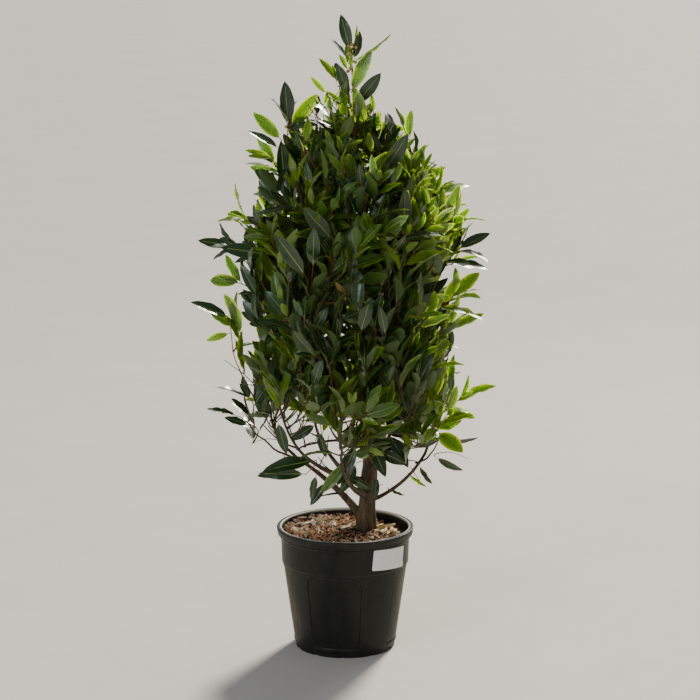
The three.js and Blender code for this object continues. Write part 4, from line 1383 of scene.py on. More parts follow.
def turned_frame(heading, pitch, roll):
    """A turn about Z, then a tilt, then a roll, as rows that a point is multiplied by."""
    cz, sz, cy, sy, cx, sx = (f(a) for a in (heading, pitch, roll) for f in (math.cos, math.sin))
    about_z = np.array(((cz, sz, 0), (-sz, cz, 0), (0, 0, 1)))
    about_y = np.array(((cy, 0, -sy), (0, 1, 0), (sy, 0, cy)))
    about_x = np.array(((1, 0, 0), (0, cx, sx), (0, -sx, cx)))
    return about_x @ about_y @ about_z


def soil_spot(random, edge):
    """A place on the soil, clear of the trunk."""
    while True:
        spot = random.uniform(-edge, edge, 2)
        reach = math.hypot(*spot)
        from_trunk = math.hypot(spot[0] - TRUNK_FOOT_X, spot[1] - TRUNK_FOOT_Y)
        if reach < edge and from_trunk > TRUNK_ROOM:
            return spot, reach


def chip_kind(random, x, y):
    """More dark chips in front of the trunk, and pale pieces left of it and right behind it, partly
    painted patches of sunlight.
    """
    # More dark chips in a patch in front of the trunk
    dark_patch = near(x, y, DARK_PATCH_PLACE, DARK_PATCH_SIZE)
    # Pale pieces gather where patches of sunlight are painted
    pale_and_sunlit = sum(near(x, y, place, PALE_AND_SUNLIT_SIZE) for place in PALE_AND_SUNLIT_PLACES)
    rusty, dark, pale = CHIP_SHARES.values()
    dark = dark + DARK_PATCH_GAIN * dark_patch
    pale = pale * (1 - dark_patch) + PALE_AND_SUNLIT_GATHERING * pale_and_sunlit
    weights = np.array((rusty, dark, pale))
    return random.choice(list(CHIP_SHARES), p=weights / weights.sum())


def make_mulch(soil, mouth):
    """Bark chips in three colours, strewn and overlapping."""
    random = np.random.default_rng(SEED)
    edge = inside_radius(soil.edge_height, mouth) - HEAP_CLEARANCE
    heaps = {kind: MeshParts() for kind in CHIP_SHARES}
    for _ in range(soil.chips):
        (x, y), reach = soil_spot(random, edge)
        kind = chip_kind(random, x, y)
        length = soil.chip_length * random.lognormal(*CHIP_LENGTH_SPREAD)
        length = min(length, LONGEST_CHIP * soil.chip_length) * (PALE_LENGTH if kind == "pale" else 1.0)
        if reach + 0.5 * length > edge + CHIP_OVERHANG:
            length = max(2 * (edge + CHIP_OVERHANG - reach), SHORTEST_CHIP)
        heading = random.uniform(0, FULL_TURN)
        frame_rows = turned_frame(heading, random.normal(0, CHIP_PITCH), random.normal(0, CHIP_ROLL))
        points = chip_points(random, length) @ frame_rows
        base = soil_height(x, y, soil, mouth) + random.uniform(*CHIP_LIFT)
        heaps[kind].add(points + (x, y, base), [CHIP_FACES])
    for kind, heap in heaps.items():
        base = getattr(soil, kind)
        finish = mulch_finish(f"{kind}_chips", base, times(base, CHIP_SHADE), 140.0)
        piece = heap.build(f"bark_chips_{kind}", [finish], math.radians(30))
    make_fibres(soil, mouth, random, edge)


def make_fibres(soil, mouth, random, edge):
    """Thin pale fibres and root hairs that stand out of the mulch."""
    fibres = MeshParts()
    for _ in range(soil.fibres):
        (x, y), _ = soil_spot(random, edge - FIBRE_INSET)
        start = np.array((x, y, soil_height(x, y, soil, mouth) + FIBRE_START))
        heading = around(random.uniform(0, FULL_TURN))
        length = random.uniform(*FIBRE_LENGTH)
        middle = start + heading * length * 0.4 + UP * random.uniform(*FIBRE_ARCH)
        end = start + heading * length + UP * random.uniform(*FIBRE_END)
        add_tube(fibres, Curve(start, middle, end).points(len(FIBRE_RADII)), FIBRE_RADII, 4)
    piece = fibres.build("mulch_fibres", [mulch_finish("fibre", soil.pale, soil.rusty, 90.0)])


# Growth, by the same rule as the solids and carried to finer twigs


def trunk_centre(height):
    bend = smooth_step(LEADER_BEND_START, LEADER_BEND_END, height)
    lean = smooth_step(TRUNK_FOOT, TRUNK_LEAN_TOP, height)
    x = TRUNK_FOOT_X + TRUNK_LEAN * lean + LEADER_SHIFT_X * bend
    y = TRUNK_FOOT_Y + LEADER_SHIFT_Y * bend
    return np.array((x, y, height))


def trunk_radius(limbs, height, turn=0.0):
    share = (height - TRUNK_FOOT) / (TRUNK_TIP - TRUNK_FOOT)
    flare = math.exp((TRUNK_FOOT - height) / FLARE_HEIGHT)
    lobes = 1 + FLARE_LOBE_DEPTH * flare * np.cos(FLARE_LOBES * turn)
    return (mix(limbs.trunk_radius, limbs.tip_radius, share) + limbs.flare * flare) * lobes


def crown_reach(height, turn, outline=CROWN_OUTLINE):
    """How far the leaves reach from the axis, at a height and in a direction."""
    heights, left, right = outline.T
    left_reach = np.interp(height, heights, left, left=0.0, right=0.0)
    right_reach = np.interp(height, heights, right, left=0.0, right=0.0)
    reach = mix(left_reach, right_reach, (1 + np.cos(turn)) / 2)
    lobe = np.sin(CROWN_LOBES * turn + height / CROWN_LOBE_TURN)
    return reach * (1 + CROWN_LOBE * np.sin(turn) ** 2 * lobe)


def sector_middle(tier, sector):
    return math.radians(tier["turn"] + sector * 360 / tier["sectors"])


def bough_plan(tier, sector):
    special = SPECIAL_LIMBS.get((tier["name"], sector))
    share = (sector * GOLDEN_SHARE) % 1
    root = special["root"] if special else mix(tier["root_from"], tier["root_to"], share)
    limb = special or tier
    start = trunk_centre(root)
    end = around(sector_middle(tier, sector)) * limb["tip_from_axis"] + UP * (root + limb["rise"])
    middle = mix(start, end, limb.get("bend_out", BOUGH_BEND_OUT))
    middle[2] = root + limb.get("bend_up", BOUGH_BEND_UP) * limb["rise"]
    return Curve(start, middle, end), limb["thickness"]


def rising_curve(start, end):
    """A twig leaves its parent outwards and ends upright."""
    middle = mix(start, end, TWIG_BEND_OUT)
    middle[2] = mix(start[2], end[2], TWIG_BEND_UP)
    return Curve(start, middle, end)


def stem_plan(tier, sector, bough):
    """The stem carries straight on from its bough."""
    turn = sector_middle(tier, sector)
    onward = bough.along(1)
    start = bough.point(1)
    height = mix(tier["surface_from"], tier["surface_to"], STEM_RISE)
    end = around(turn) * crown_reach(height, turn) * STEM_REACH + UP * height
    middle = start + onward * np.linalg.norm(end - start) * STEM_ONWARD
    return Curve(start, middle, end)


def shoot_plan(tier, sector, stem, number, reach_share):
    """Shoots run from the stem to ends spread evenly over the sector's part of the crown's surface."""
    across = (sector * GOLDEN_SHARE + number * SPREAD_ACROSS) % 1
    upward = (number * SPREAD_UP) % 1
    turn = sector_middle(tier, sector) + math.pi / tier["sectors"] * (2 * across - 1)
    height = mix(tier["surface_from"], tier["surface_to"], upward)
    reach = max(crown_reach(height, turn, MASS_OUTLINE) - SHOOT_INSET, SHOOT_INSET) * reach_share
    end = around(turn) * reach + UP * (height - SHOOT_INSET / 2)
    return rising_curve(stem.point(mix(SHOOTS_FROM, SHOOTS_TO, upward)), end)


def place_along(path, reach, spot):
    """The place at a distance along a path. The reach is the distance of each of its points."""
    return np.array([np.interp(spot, reach, path[:, i]) for i in range(3)])


class Growth:
    """Twigs and leaves as they are grown, with the small cells of space that they take up."""

    def __init__(self, limbs, leaves):
        self.limbs = limbs
        self.settings = leaves
        self.random = np.random.default_rng(SEED)
        self.taken = set()
        self.leaves = []
        self.twigs = []
        self.buds = []
        self.limb_points = []
        self.roll = 0.0
        self.room = 1.0
        self.facing = np.zeros(3)
        self.bare_base = True

    def cells(self, points):
        return set(map(tuple, np.floor(np.asarray(points) / CELL).astype(int)))

    def block(self, path, radii):
        """Keeps leaves out of a limb."""
        for centre, radius in zip(path, radii):
            turns = np.linspace(0, FULL_TURN, 8)
            spokes = [centre] + [centre + around(turn) * radius for turn in turns]
            self.taken |= self.cells(spokes)

    def inside(self, points):
        turns = np.arctan2(points[:, 1], points[:, 0])
        reach = np.hypot(points[:, 0], points[:, 1])
        limit = crown_reach(points[:, 2], turns, MASS_OUTLINE if self.bare_base else CROWN_OUTLINE)
        ceiling = CEILING - CEILING_SLOPE * reach if self.bare_base else np.inf
        limit = np.where(limit > 0, np.minimum(limit * self.room + SPILL, WIDEST), 0)
        return bool(np.all((reach < limit) & (points[:, 2] < ceiling)))

    def too_low(self, place):
        """The crown's underside is a shallow bowl with few leaves below it."""
        base = BASE_HEIGHT + BASE_RISE * math.hypot(place[0], place[1])
        base += HOLLOW_RISE * math.exp(-(((place[0] - HOLLOW_X) / HOLLOW_WIDTH) ** 2))
        chance = smooth_step(base - BASE_SOFTNESS, base + BASE_SOFTNESS, place[2])
        return self.bare_base and self.random.random() > chance

    def in_pocket(self, place):
        """Pockets without leaves, where the crown shows its depth and some sky."""
        return self.bare_base and ripple(*(place / POCKET_SIZE)) < POCKET_LIMIT

    def add_twig(self, curve, from_radius, to_radius, age, rings=TWIG_RINGS):
        path = curve.points(rings)
        swing = TWIG_SWING * np.linalg.norm(curve.end - curve.start)
        easing = np.sin(np.linspace(0, math.pi, rings))[:, None]
        wobble = self.random.normal(0, swing, (rings, 3)) * easing
        path = path + 0.5 * (wobble + np.roll(wobble, 1, axis=0))
        self.twigs.append((path, np.linspace(from_radius, to_radius, rings), age))
        return path

    def add_shoot_twig(self, curve, from_radius, rings=TWIG_RINGS):
        """A shoot is olive green where it starts and red-brown at its young end."""
        path = curve.points(rings)
        radii = np.linspace(from_radius, SHOOT_TIP_RADIUS, rings)
        change = int(rings * YOUNG_FROM)
        self.twigs.append((path[: change + 1], radii[: change + 1], "green"))
        self.twigs.append((path[change:], radii[change:] * YOUNG_WIDENING, "young"))
        return path

    def set_leaf(self, root, along, face, blade, curl, tint):
        self.leaves.append((root, along, face, blade, curl, tint))

    def leaf_cells(self, root, along, face, blade, curl):
        """Points over a blade, for the tests of room."""
        across = unit(np.cross(along, face))
        shares = SAMPLE_SHARES
        line = root + along * (blade * shares) - face * (SAMPLE_BEND * curl * blade * shares**2)
        half = SAMPLE_WIDTH * self.settings.slimness * blade * np.sqrt(1 - shares)
        return np.concatenate((line, line + across * half, line - across * half))

    def try_leaf(self, root, axis, lean, length, tint):
        """Adds the first blade of a few tries that stays in the crown and clear of the others."""
        self.roll += GOLDEN_ANGLE + self.random.normal(0, ROLL_SPREAD)
        side = unit(np.cross(axis, sideways(axis)))
        top = np.cross(axis, side)
        radial = side * math.cos(self.roll) + top * math.sin(self.roll)
        curl = self.random.uniform(*LEAF_CURL)
        pull = LIGHT_PULL if self.bare_base else 0.0
        lowest = LOWEST_POINTING if self.bare_base else LOWEST_IN_SPRAYS
        twist = self.random.normal(0, FACE_TURN if self.bare_base else 0.5 * FACE_TURN)
        for lean_share, size_share in LEAF_TRIES:
            tilt = lean * lean_share
            along = unit(axis * math.cos(tilt) + radial * math.sin(tilt) + UP * pull)
            if along[2] < lowest:
                continue
            face = unit(axis - along * axis.dot(along))
            face = face + UPWARD_FACE * UP + self.facing
            face = unit(face - along * along.dot(face))
            face = face * math.cos(twist) + np.cross(along, face) * math.sin(twist)
            blade = length * size_share
            samples = self.leaf_cells(root, along, face, blade, curl)
            cells = self.cells(samples)
            if self.inside(samples) and not cells & self.taken:
                self.taken |= cells
                self.set_leaf(root, along, face, blade, curl, tint)
                return

    def leaves_along(self, path, leaves_from, tint, scale=1.0, tip_leaves=TIP_LEAVES):
        """Alternate leaves up a twig, more upright towards its tip, and a tuft at the end."""
        steps = np.linalg.norm(np.diff(path, axis=0), axis=1)
        reach = np.concatenate(((0.0,), np.cumsum(steps)))
        count = max(int(reach[-1] * (1 - leaves_from) / (LEAF_SPACING * scale)), 1)
        shares = list(np.linspace(leaves_from, LEAVES_TO, count))
        shares += [1.0 - TIP_LEAF_GAP * i / reach[-1] for i in range(tip_leaves)]
        for number, share in enumerate(shares):
            spot = reach[-1] * share
            root = place_along(path, reach, spot)
            if self.too_low(root) or self.in_pocket(root):
                continue
            behind = place_along(path, reach, max(spot - LOOK_BACK, 0))
            ahead = place_along(path, reach, min(spot + LOOK_AHEAD, reach[-1]))
            progress = (share - leaves_from) / (1 - leaves_from)
            lean = mix(LEAN_AT_FOOT, LEAN_AT_TIP, progress) * self.random.uniform(*LEAN_SPREAD)
            length = self.settings.length * scale * self.random.uniform(*LEAF_SIZE_SPREAD)
            length *= TIP_LEAF_SIZE if number >= count else mix(1.0, LAST_LEAF_SIZE, progress)
            fresh = self.random.uniform() < FRESH_SHARE
            length *= FRESH_SIZE if fresh else 1.0
            self.try_leaf(root, unit(ahead - behind), lean, length, "young" if fresh else tint)

    def tint(self, place):
        """Lighter sprays, partly painted sunlight shining through, are commoner on the sunny back right
        and high up.
        """
        x, y, z = place
        sunny = SUNNY_RIGHT * x + SUNNY_EDGE * abs(x) + SUNNY_BACK * y + SUNNY_HIGH * (z - SUNNY_FROM)
        light = np.clip(LIGHT_USUAL + LIGHT_GAIN * sunny, LIGHT_AT_LEAST, LIGHT_AT_MOST)
        chance = [in_shade * (1 - light) + in_sun * light for in_shade, in_sun in TINT_SHARES.values()]
        return self.random.choice((*TINT_SHARES, "young"), p=(*chance, 1 - sum(chance)))

    def grow_shoot(self, curve, leaves_from):
        if self.too_low(curve.end) or self.in_pocket(curve.end):
            return
        tint = self.tint(curve.end)
        path = self.add_shoot_twig(curve, SHOOT_RADIUS)
        self.leaves_along(path, leaves_from, tint)
        for number in range(self.settings.side_twigs):
            upward = (number + self.random.uniform(0, SIDE_TWIG_SPREAD)) / self.settings.side_twigs
            self.grow_side_twig(path, mix(*SIDE_TWIG_SHARES, upward), tint)

    def grow_side_twig(self, path, share, tint):
        """A finer twig from a shoot, outwards and then upright."""
        place = share * (len(path) - 1)
        low = min(int(place), len(path) - 2)
        start = mix(path[low], path[low + 1], place - low)
        axis = unit(path[low + 1] - path[low])
        self.roll += GOLDEN_ANGLE
        side = unit(np.cross(axis, sideways(axis)))
        radial = side * math.cos(self.roll) + np.cross(axis, side) * math.sin(self.roll)
        length = self.random.uniform(*SIDE_TWIG_LENGTH)
        outward = unit(axis * math.cos(SIDE_TWIG_LEAN) + radial * math.sin(SIDE_TWIG_LEAN))
        end = start + outward * SIDE_TWIG_OUT * length + UP * SIDE_TWIG_UP * length
        if self.inside(end[None]) and not self.too_low(end):
            twig = self.add_shoot_twig(rising_curve(start, end), SIDE_TWIG_RADIUS, SHORT_TWIG_RINGS)
            self.leaves_along(
                twig, SIDE_TWIG_LEAVES_FROM, tint, SIDE_TWIG_LEAF_SIZE, SIDE_TWIG_TIP_LEAVES
            )

    def grow_frame(self, tier, sector):
        """The bough and the woody stem that goes on from it."""
        bough, thickness = bough_plan(tier, sector)
        path = bough.points(BOUGH_SAMPLES)
        self.block(path, np.linspace(thickness, BOUGH_TIP_RADIUS, BOUGH_SAMPLES))
        stem = stem_plan(tier, sector, bough)
        stem_path = self.add_twig(stem, STEM_RADIUS, STEM_TIP_RADIUS, "woody", LONG_TWIG_RINGS)
        self.block(stem_path, np.full(len(stem_path), STEM_RADIUS))
        self.limb_points += [*path[LIMB_BEHIND:], *stem_path]
        return stem, stem_path

    def grow_sector(self, tier, sector, stem, stem_path):
        self.leaves_along(stem_path, STEM_LEAVES_FROM, self.tint(stem.end))
        for number in range(1, self.settings.shoots + 1):
            span = OUTER_REACH if number % 3 else INNER_REACH
            reach_share = self.random.uniform(*span)
            self.room = min(reach_share + OVERHANG, 1.0)
            plan = shoot_plan(tier, sector, stem, number, reach_share)
            self.grow_shoot(plan, SHOOT_LEAVES_FROM)
        self.room = 1.0

    def nearest_limb(self, place, rising=LIMB_CLIMB):
        """The best point of a limb for a twig that ends at a place: near, and not above it."""
        points = np.array(self.limb_points)
        above = np.maximum(points[:, 2] - place[2] + LIMB_CLEARANCE, 0)
        cost = np.linalg.norm(points - place, axis=1) + rising * above
        return points[int(np.argmin(cost))]

    def grow_spray(self, x, y, z, lean, count, tint):
        """A fan of leaves at a chosen place, on a twig from the nearest limb."""
        place = np.array((x, y, z))
        outward = unit(np.array((x, SPRAY_DEPTH * y, 0.0)))
        axis = outward * math.sin(math.radians(lean)) + UP * math.cos(math.radians(lean))
        start = self.nearest_limb(place)
        length = np.linalg.norm(place - start)
        curve = Curve(start, place - axis * SPRAY_STRAIGHT * length, place)
        path = self.add_shoot_twig(curve, SHOOT_RADIUS)
        self.room = SPRAY_ROOM
        self.facing = SPRAY_FACING
        self.bare_base = False
        below_tip = max(count - SPRAY_TIP_LEAVES, 1)
        bare = max(1 - SPRAY_SPACING * below_tip / length, SHOOTS_FROM)
        self.leaves_along(path, bare, tint, 1.0, min(count, SPRAY_TIP_LEAVES))
        self.room = 1.0
        self.facing = np.zeros(3)
        self.bare_base = True

    def set_chosen_twigs(self):
        for start, middle, end, radius, age in CHOSEN_TWIGS:
            curve = Curve(np.array(start), np.array(middle), np.array(end))
            path = self.add_twig(curve, radius, TWIG_TAPER * radius, age, LONG_TWIG_RINGS)
            self.block(path, np.full(len(path), radius))
            self.limb_points += [*path]

    def join_to_limb(self, root):
        """A thin young twig from the nearest limb to the root of a leaf that stands off it."""
        start = self.nearest_limb(root, 0.0)
        gap = float(np.linalg.norm(root - start))
        if SHORTEST_STALK < gap < LONGEST_STALK:
            twig = Curve(start, mix(start, root, 0.5) + UP * STALK_RISE * gap, root)
            start_radius = STALK_WIDENING * SHOOT_TIP_RADIUS
            self.add_twig(twig, start_radius, SHOOT_TIP_RADIUS, "young", SHORT_TWIG_RINGS)

    def set_chosen_leaves(self):
        for root, right, front, turn, length, tint in CHOSEN_LEAVES:
            right, front, turn = map(math.radians, (right, front, turn))
            along = unit(np.array((math.sin(right), -math.sin(front), math.cos(right))))
            ahead = np.array((0.0, -1.0, 0.0))
            ahead = unit(ahead - along * along.dot(ahead))
            face = ahead * math.cos(turn) + np.cross(along, ahead) * math.sin(turn)
            root = np.array(root)
            self.join_to_limb(root)
            self.set_leaf(root, along, face, length, CHOSEN_CURL, tint)
            self.taken |= self.cells(self.leaf_cells(root, along, face, length, CHOSEN_CURL))

    def grow_leader_stem(self):
        start = trunk_centre(TRUNK_TIP)
        above = start + UP * 0.5 * (LEADER_TOP[2] - start[2])
        leader = Curve(start, above, LEADER_TOP)
        path = np.concatenate((leader.points(LEADER_RINGS), LEADER_TIP[None]))
        self.twigs.append((path, np.linspace(*LEADER_RADII, len(path)), "young"))
        self.block(path, np.full(len(path), LEADER_ROOM))
        self.limb_points += [*path]
        return leader

    def grow_leader_shoots(self, leader):
        for number in range(LEADER_SHOOTS):
            share = number / LEADER_SHOOTS
            root = leader.point(LEADER_SHOOTS_FROM + LEADER_SHOOTS_SPAN * share)
            outward = around(number * GOLDEN_ANGLE) * LEADER_SHOOT_OUT * (1 - LEADER_NARROWING * share)
            end = root + outward + UP * LEADER_SHOOT_UP * self.random.uniform(*LEADER_SHOOT_SPREAD)
            self.grow_shoot(rising_curve(root, end), LEADER_LEAVES_FROM)
        self.buds = [(np.array(place), self.random.uniform(*BUD_RADIUS)) for place in BUDS]

    def grow(self):
        heights = np.linspace(TRUNK_FOOT, TRUNK_TIP, TRUNK_SAMPLES)
        centres = [trunk_centre(height) for height in heights]
        self.block(centres, [trunk_radius(self.limbs, height) for height in heights])
        frames = [self.grow_frame(tier, sector) for tier, sector in SECTORS]
        leader = self.grow_leader_stem()
        self.set_chosen_twigs()
        self.set_chosen_leaves()
        for spray in LEADING_SPRAYS:
            self.grow_spray(*spray)
        self.grow_leader_shoots(leader)
        for (tier, sector), (stem, stem_path) in zip(SECTORS, frames):
            self.grow_sector(tier, sector, stem, stem_path)


# Trunk and boughs with the bark's relief


def bark_relief(point, along_scale, depth):
    x, y, z = (float(value) for value in point)
    ridges = ripple(x * BARK_RIDGES, y * BARK_RIDGES, z * along_scale)
    lumps = ripple(x * BARK_LUMPS + BARK_LUMP_START, y * BARK_LUMPS, z * BARK_LUMP_RISE)
    return depth * (ridges + BARK_LUMP_DEPTH * lumps)


def make_trunk(limbs):
    """The trunk with its root flare, bark ridges and a collar under each bough."""
    turns = full_circle(TRUNK_SIDES)
    spokes = level_ring(1.0, turns, 0.0)
    collars = [bough_plan(tier, sector) for tier, sector in SECTORS]
    rings = []
    for height in mix(TRUNK_FOOT, TRUNK_TIP, np.linspace(0, 1, TRUNK_RINGS) ** TRUNK_CROWDING):
        centre = trunk_centre(height)
        radii = trunk_radius(limbs, height, turns) * np.ones(TRUNK_SIDES)
        for curve, thickness in collars:
            root = curve.start[2] + COLLAR_RISE * limbs.trunk_radius
            heading = curve.end - curve.start
            apart = (turns - math.atan2(heading[1], heading[0]) + math.pi) % (2 * math.pi) - math.pi
            above = (height - root) / (COLLAR_LENGTH * thickness)
            radii += COLLAR_SWELL * thickness * np.exp(-((apart / COLLAR_TURN) ** 2) - above**2)
        points = centre + spokes * radii[:, None]
        relief = np.array([bark_relief(point, TRUNK_RIDGE_RISE, limbs.relief) for point in points])
        rings.append(points + spokes * relief[:, None])
    parts = MeshParts()
    add_lathe(parts, rings)
    finish = bark_finish("bark", limbs.bark, limbs.bark_dark, 55.0, 0.35, 0.0012)
    piece = parts.build("trunk_bark", [finish])
    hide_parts("trunk")


def make_boughs(limbs):
    """Every bough as one tapering limb with bark relief, wider where it leaves the trunk."""
    parts = MeshParts()
    offsets = [around(turn) * BOUGH_BARK_RADIUS for turn in full_circle(BOUGH_SIDES)]
    shares = np.linspace(0, 1, BOUGH_RINGS)
    depth = BOUGH_RELIEF * limbs.relief
    for tier, sector in SECTORS:
        curve, thickness = bough_plan(tier, sector)
        path = curve.points(BOUGH_RINGS)
        radii = mix(thickness, BOUGH_TIP_RADIUS, shares)
        radii = radii * (1 + BOUGH_SWELL * np.exp(-shares / BOUGH_SWELL_SHARE))
        relief = [
            [bark_relief(centre + offset, BOUGH_RIDGE_RISE, depth) for offset in offsets]
            for centre in path
        ]
        add_tube(parts, path, radii[:, None] + np.array(relief), BOUGH_SIDES)
    finish = bark_finish("bough_bark", limbs.bark, limbs.bark_dark, 75.0, 0.8, 0.0008)
    piece = parts.build("bough_bark", [finish])
    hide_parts(*BOUGH_NODES)


def make_twigs(growth, limbs):
    """The woody stems and the young shoots, each kind in one piece."""
    kinds = {"woody": (7, limbs.twig), "green": (5, limbs.olive), "young": (5, limbs.young)}
    for age, (sides, base) in kinds.items():
        parts = MeshParts()
        for path, radii, own_age in growth.twigs:
            if own_age == age:
                add_tube(parts, path, radii, sides)
        piece = parts.build(f"twigs_{age}", [stalk_finish(f"{age}_twig", base, 0.6)])
        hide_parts(*FOLIAGE_NODES)


# Leaves


def blade_centres(rows, roots, along, face, length, curl):
    """Centre lines that bend back from their faces, with the direction and face at each row."""
    share = np.linspace(0, 1, rows + 1)
    bend = curl[:, None] * share**BLADE_BENDING
    tangent = np.cos(bend)[..., None] * along[:, None] - np.sin(bend)[..., None] * face[:, None]
    normal = np.sin(bend)[..., None] * along[:, None] + np.cos(bend)[..., None] * face[:, None]
    steps = (tangent[:, 1:] + tangent[:, :-1]) / 2 / rows * length[:, None, None]
    centres = np.concatenate((np.zeros((len(roots), 1, 3)), np.cumsum(steps, axis=1)), axis=1)
    return centres + roots[:, None], tangent, normal


def blade_half_width(share):
    """A lance-shaped outline: 1 at its widest, and pointed at both ends."""
    base, tip = BLADE_FULLNESS
    widest = base / (base + tip)
    return (share / widest) ** base * ((1 - share) / (1 - widest)) ** tip


def as_arrays(rows, stalk=PETIOLE_LENGTH):
    """Roots, directions, faces, lengths and curls of rows of leaves, past their stalks."""
    roots, along, face, length, curl = (np.array([row[i] for row in rows]) for i in range(5))
    return roots + along * stalk, along, face, length, curl


def blade_points(rows, slimness, random):
    """All blades at once: for each its root, its rows, above and below, and its tip."""
    roots, along, face, length, curl = as_arrays(rows)
    count = len(rows)
    centres, _, normal = blade_centres(LEAF_ROWS, roots, along, face, length, curl)
    across = np.cross(along, face)[:, None]
    share = np.linspace(0, 1, LEAF_ROWS + 1)
    twist = random.normal(0, BLADE_TWIST, count)[:, None] * share
    side = np.cos(twist)[..., None] * across + np.sin(twist)[..., None] * normal
    normal = np.cos(twist)[..., None] * normal - np.sin(twist)[..., None] * across
    half = 0.5 * slimness * random.uniform(*BLADE_WIDTHS, count) * length
    half = half[:, None] * blade_half_width(share)
    fold = random.uniform(*BLADE_FOLD, count)[:, None] * (1 - FOLD_EASING * share)
    wave_size = random.uniform(*WAVE_SIZE, count)[:, None] * length[:, None]
    wave_turns = random.uniform(*WAVE_TURNS, count)[:, None] * share * 2 * math.pi
    inner = slice(1, LEAF_ROWS)
    columns = []
    for place in LEAF_ACROSS:
        start = random.uniform(0, 2 * math.pi, count)[:, None] if abs(place) == 1 else 0.0
        wave = wave_size * place**4 * np.sin(wave_turns + start) * np.sin(math.pi * share)
        out = half * place * np.cos(fold)
        up = half * abs(place) * np.sin(fold) + wave
        columns.append(centres + side * out[..., None] + normal * up[..., None])
    for place in LEAF_UNDER:
        columns.append(columns[LEAF_ACROSS.index(place)] - normal * LEAF_THICKNESS)
    grid = np.stack(columns, axis=2)[:, inner]
    points = np.concatenate((centres[:, :1], grid.reshape(count, -1, 3), centres[:, -1:]), axis=1)
    marks = np.zeros((count, LEAF_POINTS, 2))
    marks[:, :, 0] = 0.5
    marks[:, -1, 1] = 1.0
    own = marks[:, 1:-1].reshape(count, LEAF_ROWS - 1, LEAF_SIDES, 2)
    own[..., 0] = [0.5 + 0.5 * place for place in LEAF_ACROSS + LEAF_UNDER]
    own[..., 1] = share[inner][None, :, None]
    marks[:, 1:-1] = own.reshape(count, -1, 2)
    return points, marks


def blade_faces():
    """A blade's faces. Its underside's are turned so that both sides split on the same diagonals."""
    walls, start, end = tube_faces(LEAF_ROWS - 1, LEAF_SIDES)
    underneath = np.arange(len(walls)) % LEAF_SIDES >= len(LEAF_ACROSS) - 1
    walls[underneath] = np.roll(walls[underneath], -1, axis=1)
    return walls, start, end


def make_blades(growth, leaves):
    """The blades of each tint as one piece, glossy above and duller below."""
    random = np.random.default_rng(SEED + 1)
    walls, start, end = blade_faces()
    top_sides = len(LEAF_ACROSS) - 1
    wall_slots = (np.arange(len(walls)) % LEAF_SIDES >= top_sides).astype(int)
    cap_slots = (np.arange(LEAF_SIDES) >= top_sides).astype(int)
    for tint in LEAF_GLOW:
        rows = [row for row in growth.leaves if row[5] == tint]
        if not rows:
            continue
        points, marks = blade_points(rows, leaves.slimness, random)
        faces = [copied(part, len(rows), LEAF_POINTS) for part in (walls, start, end)]
        slots = [np.tile(part, len(rows)) for part in (wall_slots, cap_slots, cap_slots)]
        parts = MeshParts()
        parts.add(points, faces, slots, marks)
        base = getattr(leaves, tint)
        under = towards(base, LEAF_BACK, BACK_PALENESS)
        # The paler margin is partly painted rim light
        margin = towards(base, leaves.rib, MARGIN_AND_RIM_LIGHT_PALENESS)
        top = leaf_finish(f"leaf_{tint}", base, 0.30, margin, LEAF_GLOW[tint])
        bottom = leaf_finish(f"leaf_{tint}_under", under, 0.55, margin, LEAF_GLOW[tint])
        piece = parts.build(f"leaves_{tint}", [top, bottom])
        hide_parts(*FOLIAGE_NODES)


def make_litter(soil, mouth, leaves):
    """Dry curled leaves that have fallen on the mulch beside the trunk."""
    random = np.random.default_rng(SEED + 2)
    rows = []
    for _ in range(LITTER_COUNT):
        x, y = random.normal(LITTER_PLACE, LITTER_SPREAD)
        root = np.array((x, y, soil_height(x, y, soil, mouth) + LITTER_LIFT))
        inwards = unit(np.array((-x, -y, 0.0)))
        heading = around(random.uniform(0, FULL_TURN))
        along = unit(heading + inwards + UP * random.uniform(0.0, LITTER_RISE))
        face = unit(np.cross(np.cross(along, UP), along) + LITTER_TUMBLE * random.normal(0, 1, 3))
        face = -unit(face - along * along.dot(face))
        length = random.uniform(*LITTER_LENGTH)
        rows.append((root, along, face, length, -random.uniform(*LITTER_CURL)))
    points, marks = blade_points(rows, LITTER_WIDENING * leaves.slimness, random)
    parts = MeshParts()
    parts.add(points, [copied(part, len(rows), LEAF_POINTS) for part in blade_faces()], None, marks)
    paler = towards(leaves.dry, (1.0, 1.0, 1.0), DRY_PALENESS)
    piece = parts.build("dry_leaves", [leaf_finish("dry_leaf", leaves.dry, 0.6, paler, 0.0)])


def make_slender(name, finish, centres, tangent, normal, radii, sides):
    """Many slender tubes as one piece, each with its start and its end."""
    count, rings = radii.shape
    across = np.cross(tangent, normal)
    turns = -(full_circle(sides) + math.pi / 2)
    spokes = [math.cos(turn) * across + math.sin(turn) * normal for turn in turns]
    grid = np.stack([centres + spoke * radii[..., None] for spoke in spokes], axis=2)
    grid = grid.reshape(count, -1, 3)
    points = np.concatenate((centres[:, :1], grid, centres[:, -1:]), axis=1)
    parts = MeshParts()
    parts.add(points, [copied(part, count, rings * sides + 2) for part in tube_faces(rings, sides)])
    piece = parts.build(name, [finish])
    return piece


def make_ribs(growth, leaves):
    """The pale midribs, which stand a little proud of the blades."""
    roots, along, face, length, curl = as_arrays(growth.leaves)
    lines = blade_centres(RIB_ROWS, roots, along, face, length, curl)
    centres, tangent, normal = (line[:, :RIB_ROWS] for line in lines)
    share = np.linspace(0, 1, RIB_ROWS + 1)[:RIB_ROWS]
    radii = mix(*RIB_RADII, share)[None] * (length / leaves.length)[:, None]
    finish = stalk_finish("midrib", leaves.rib, 0.4)
    piece = make_slender("leaf_midribs", finish, centres, tangent, normal, radii, RIB_SIDES)
    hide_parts(*FOLIAGE_NODES)


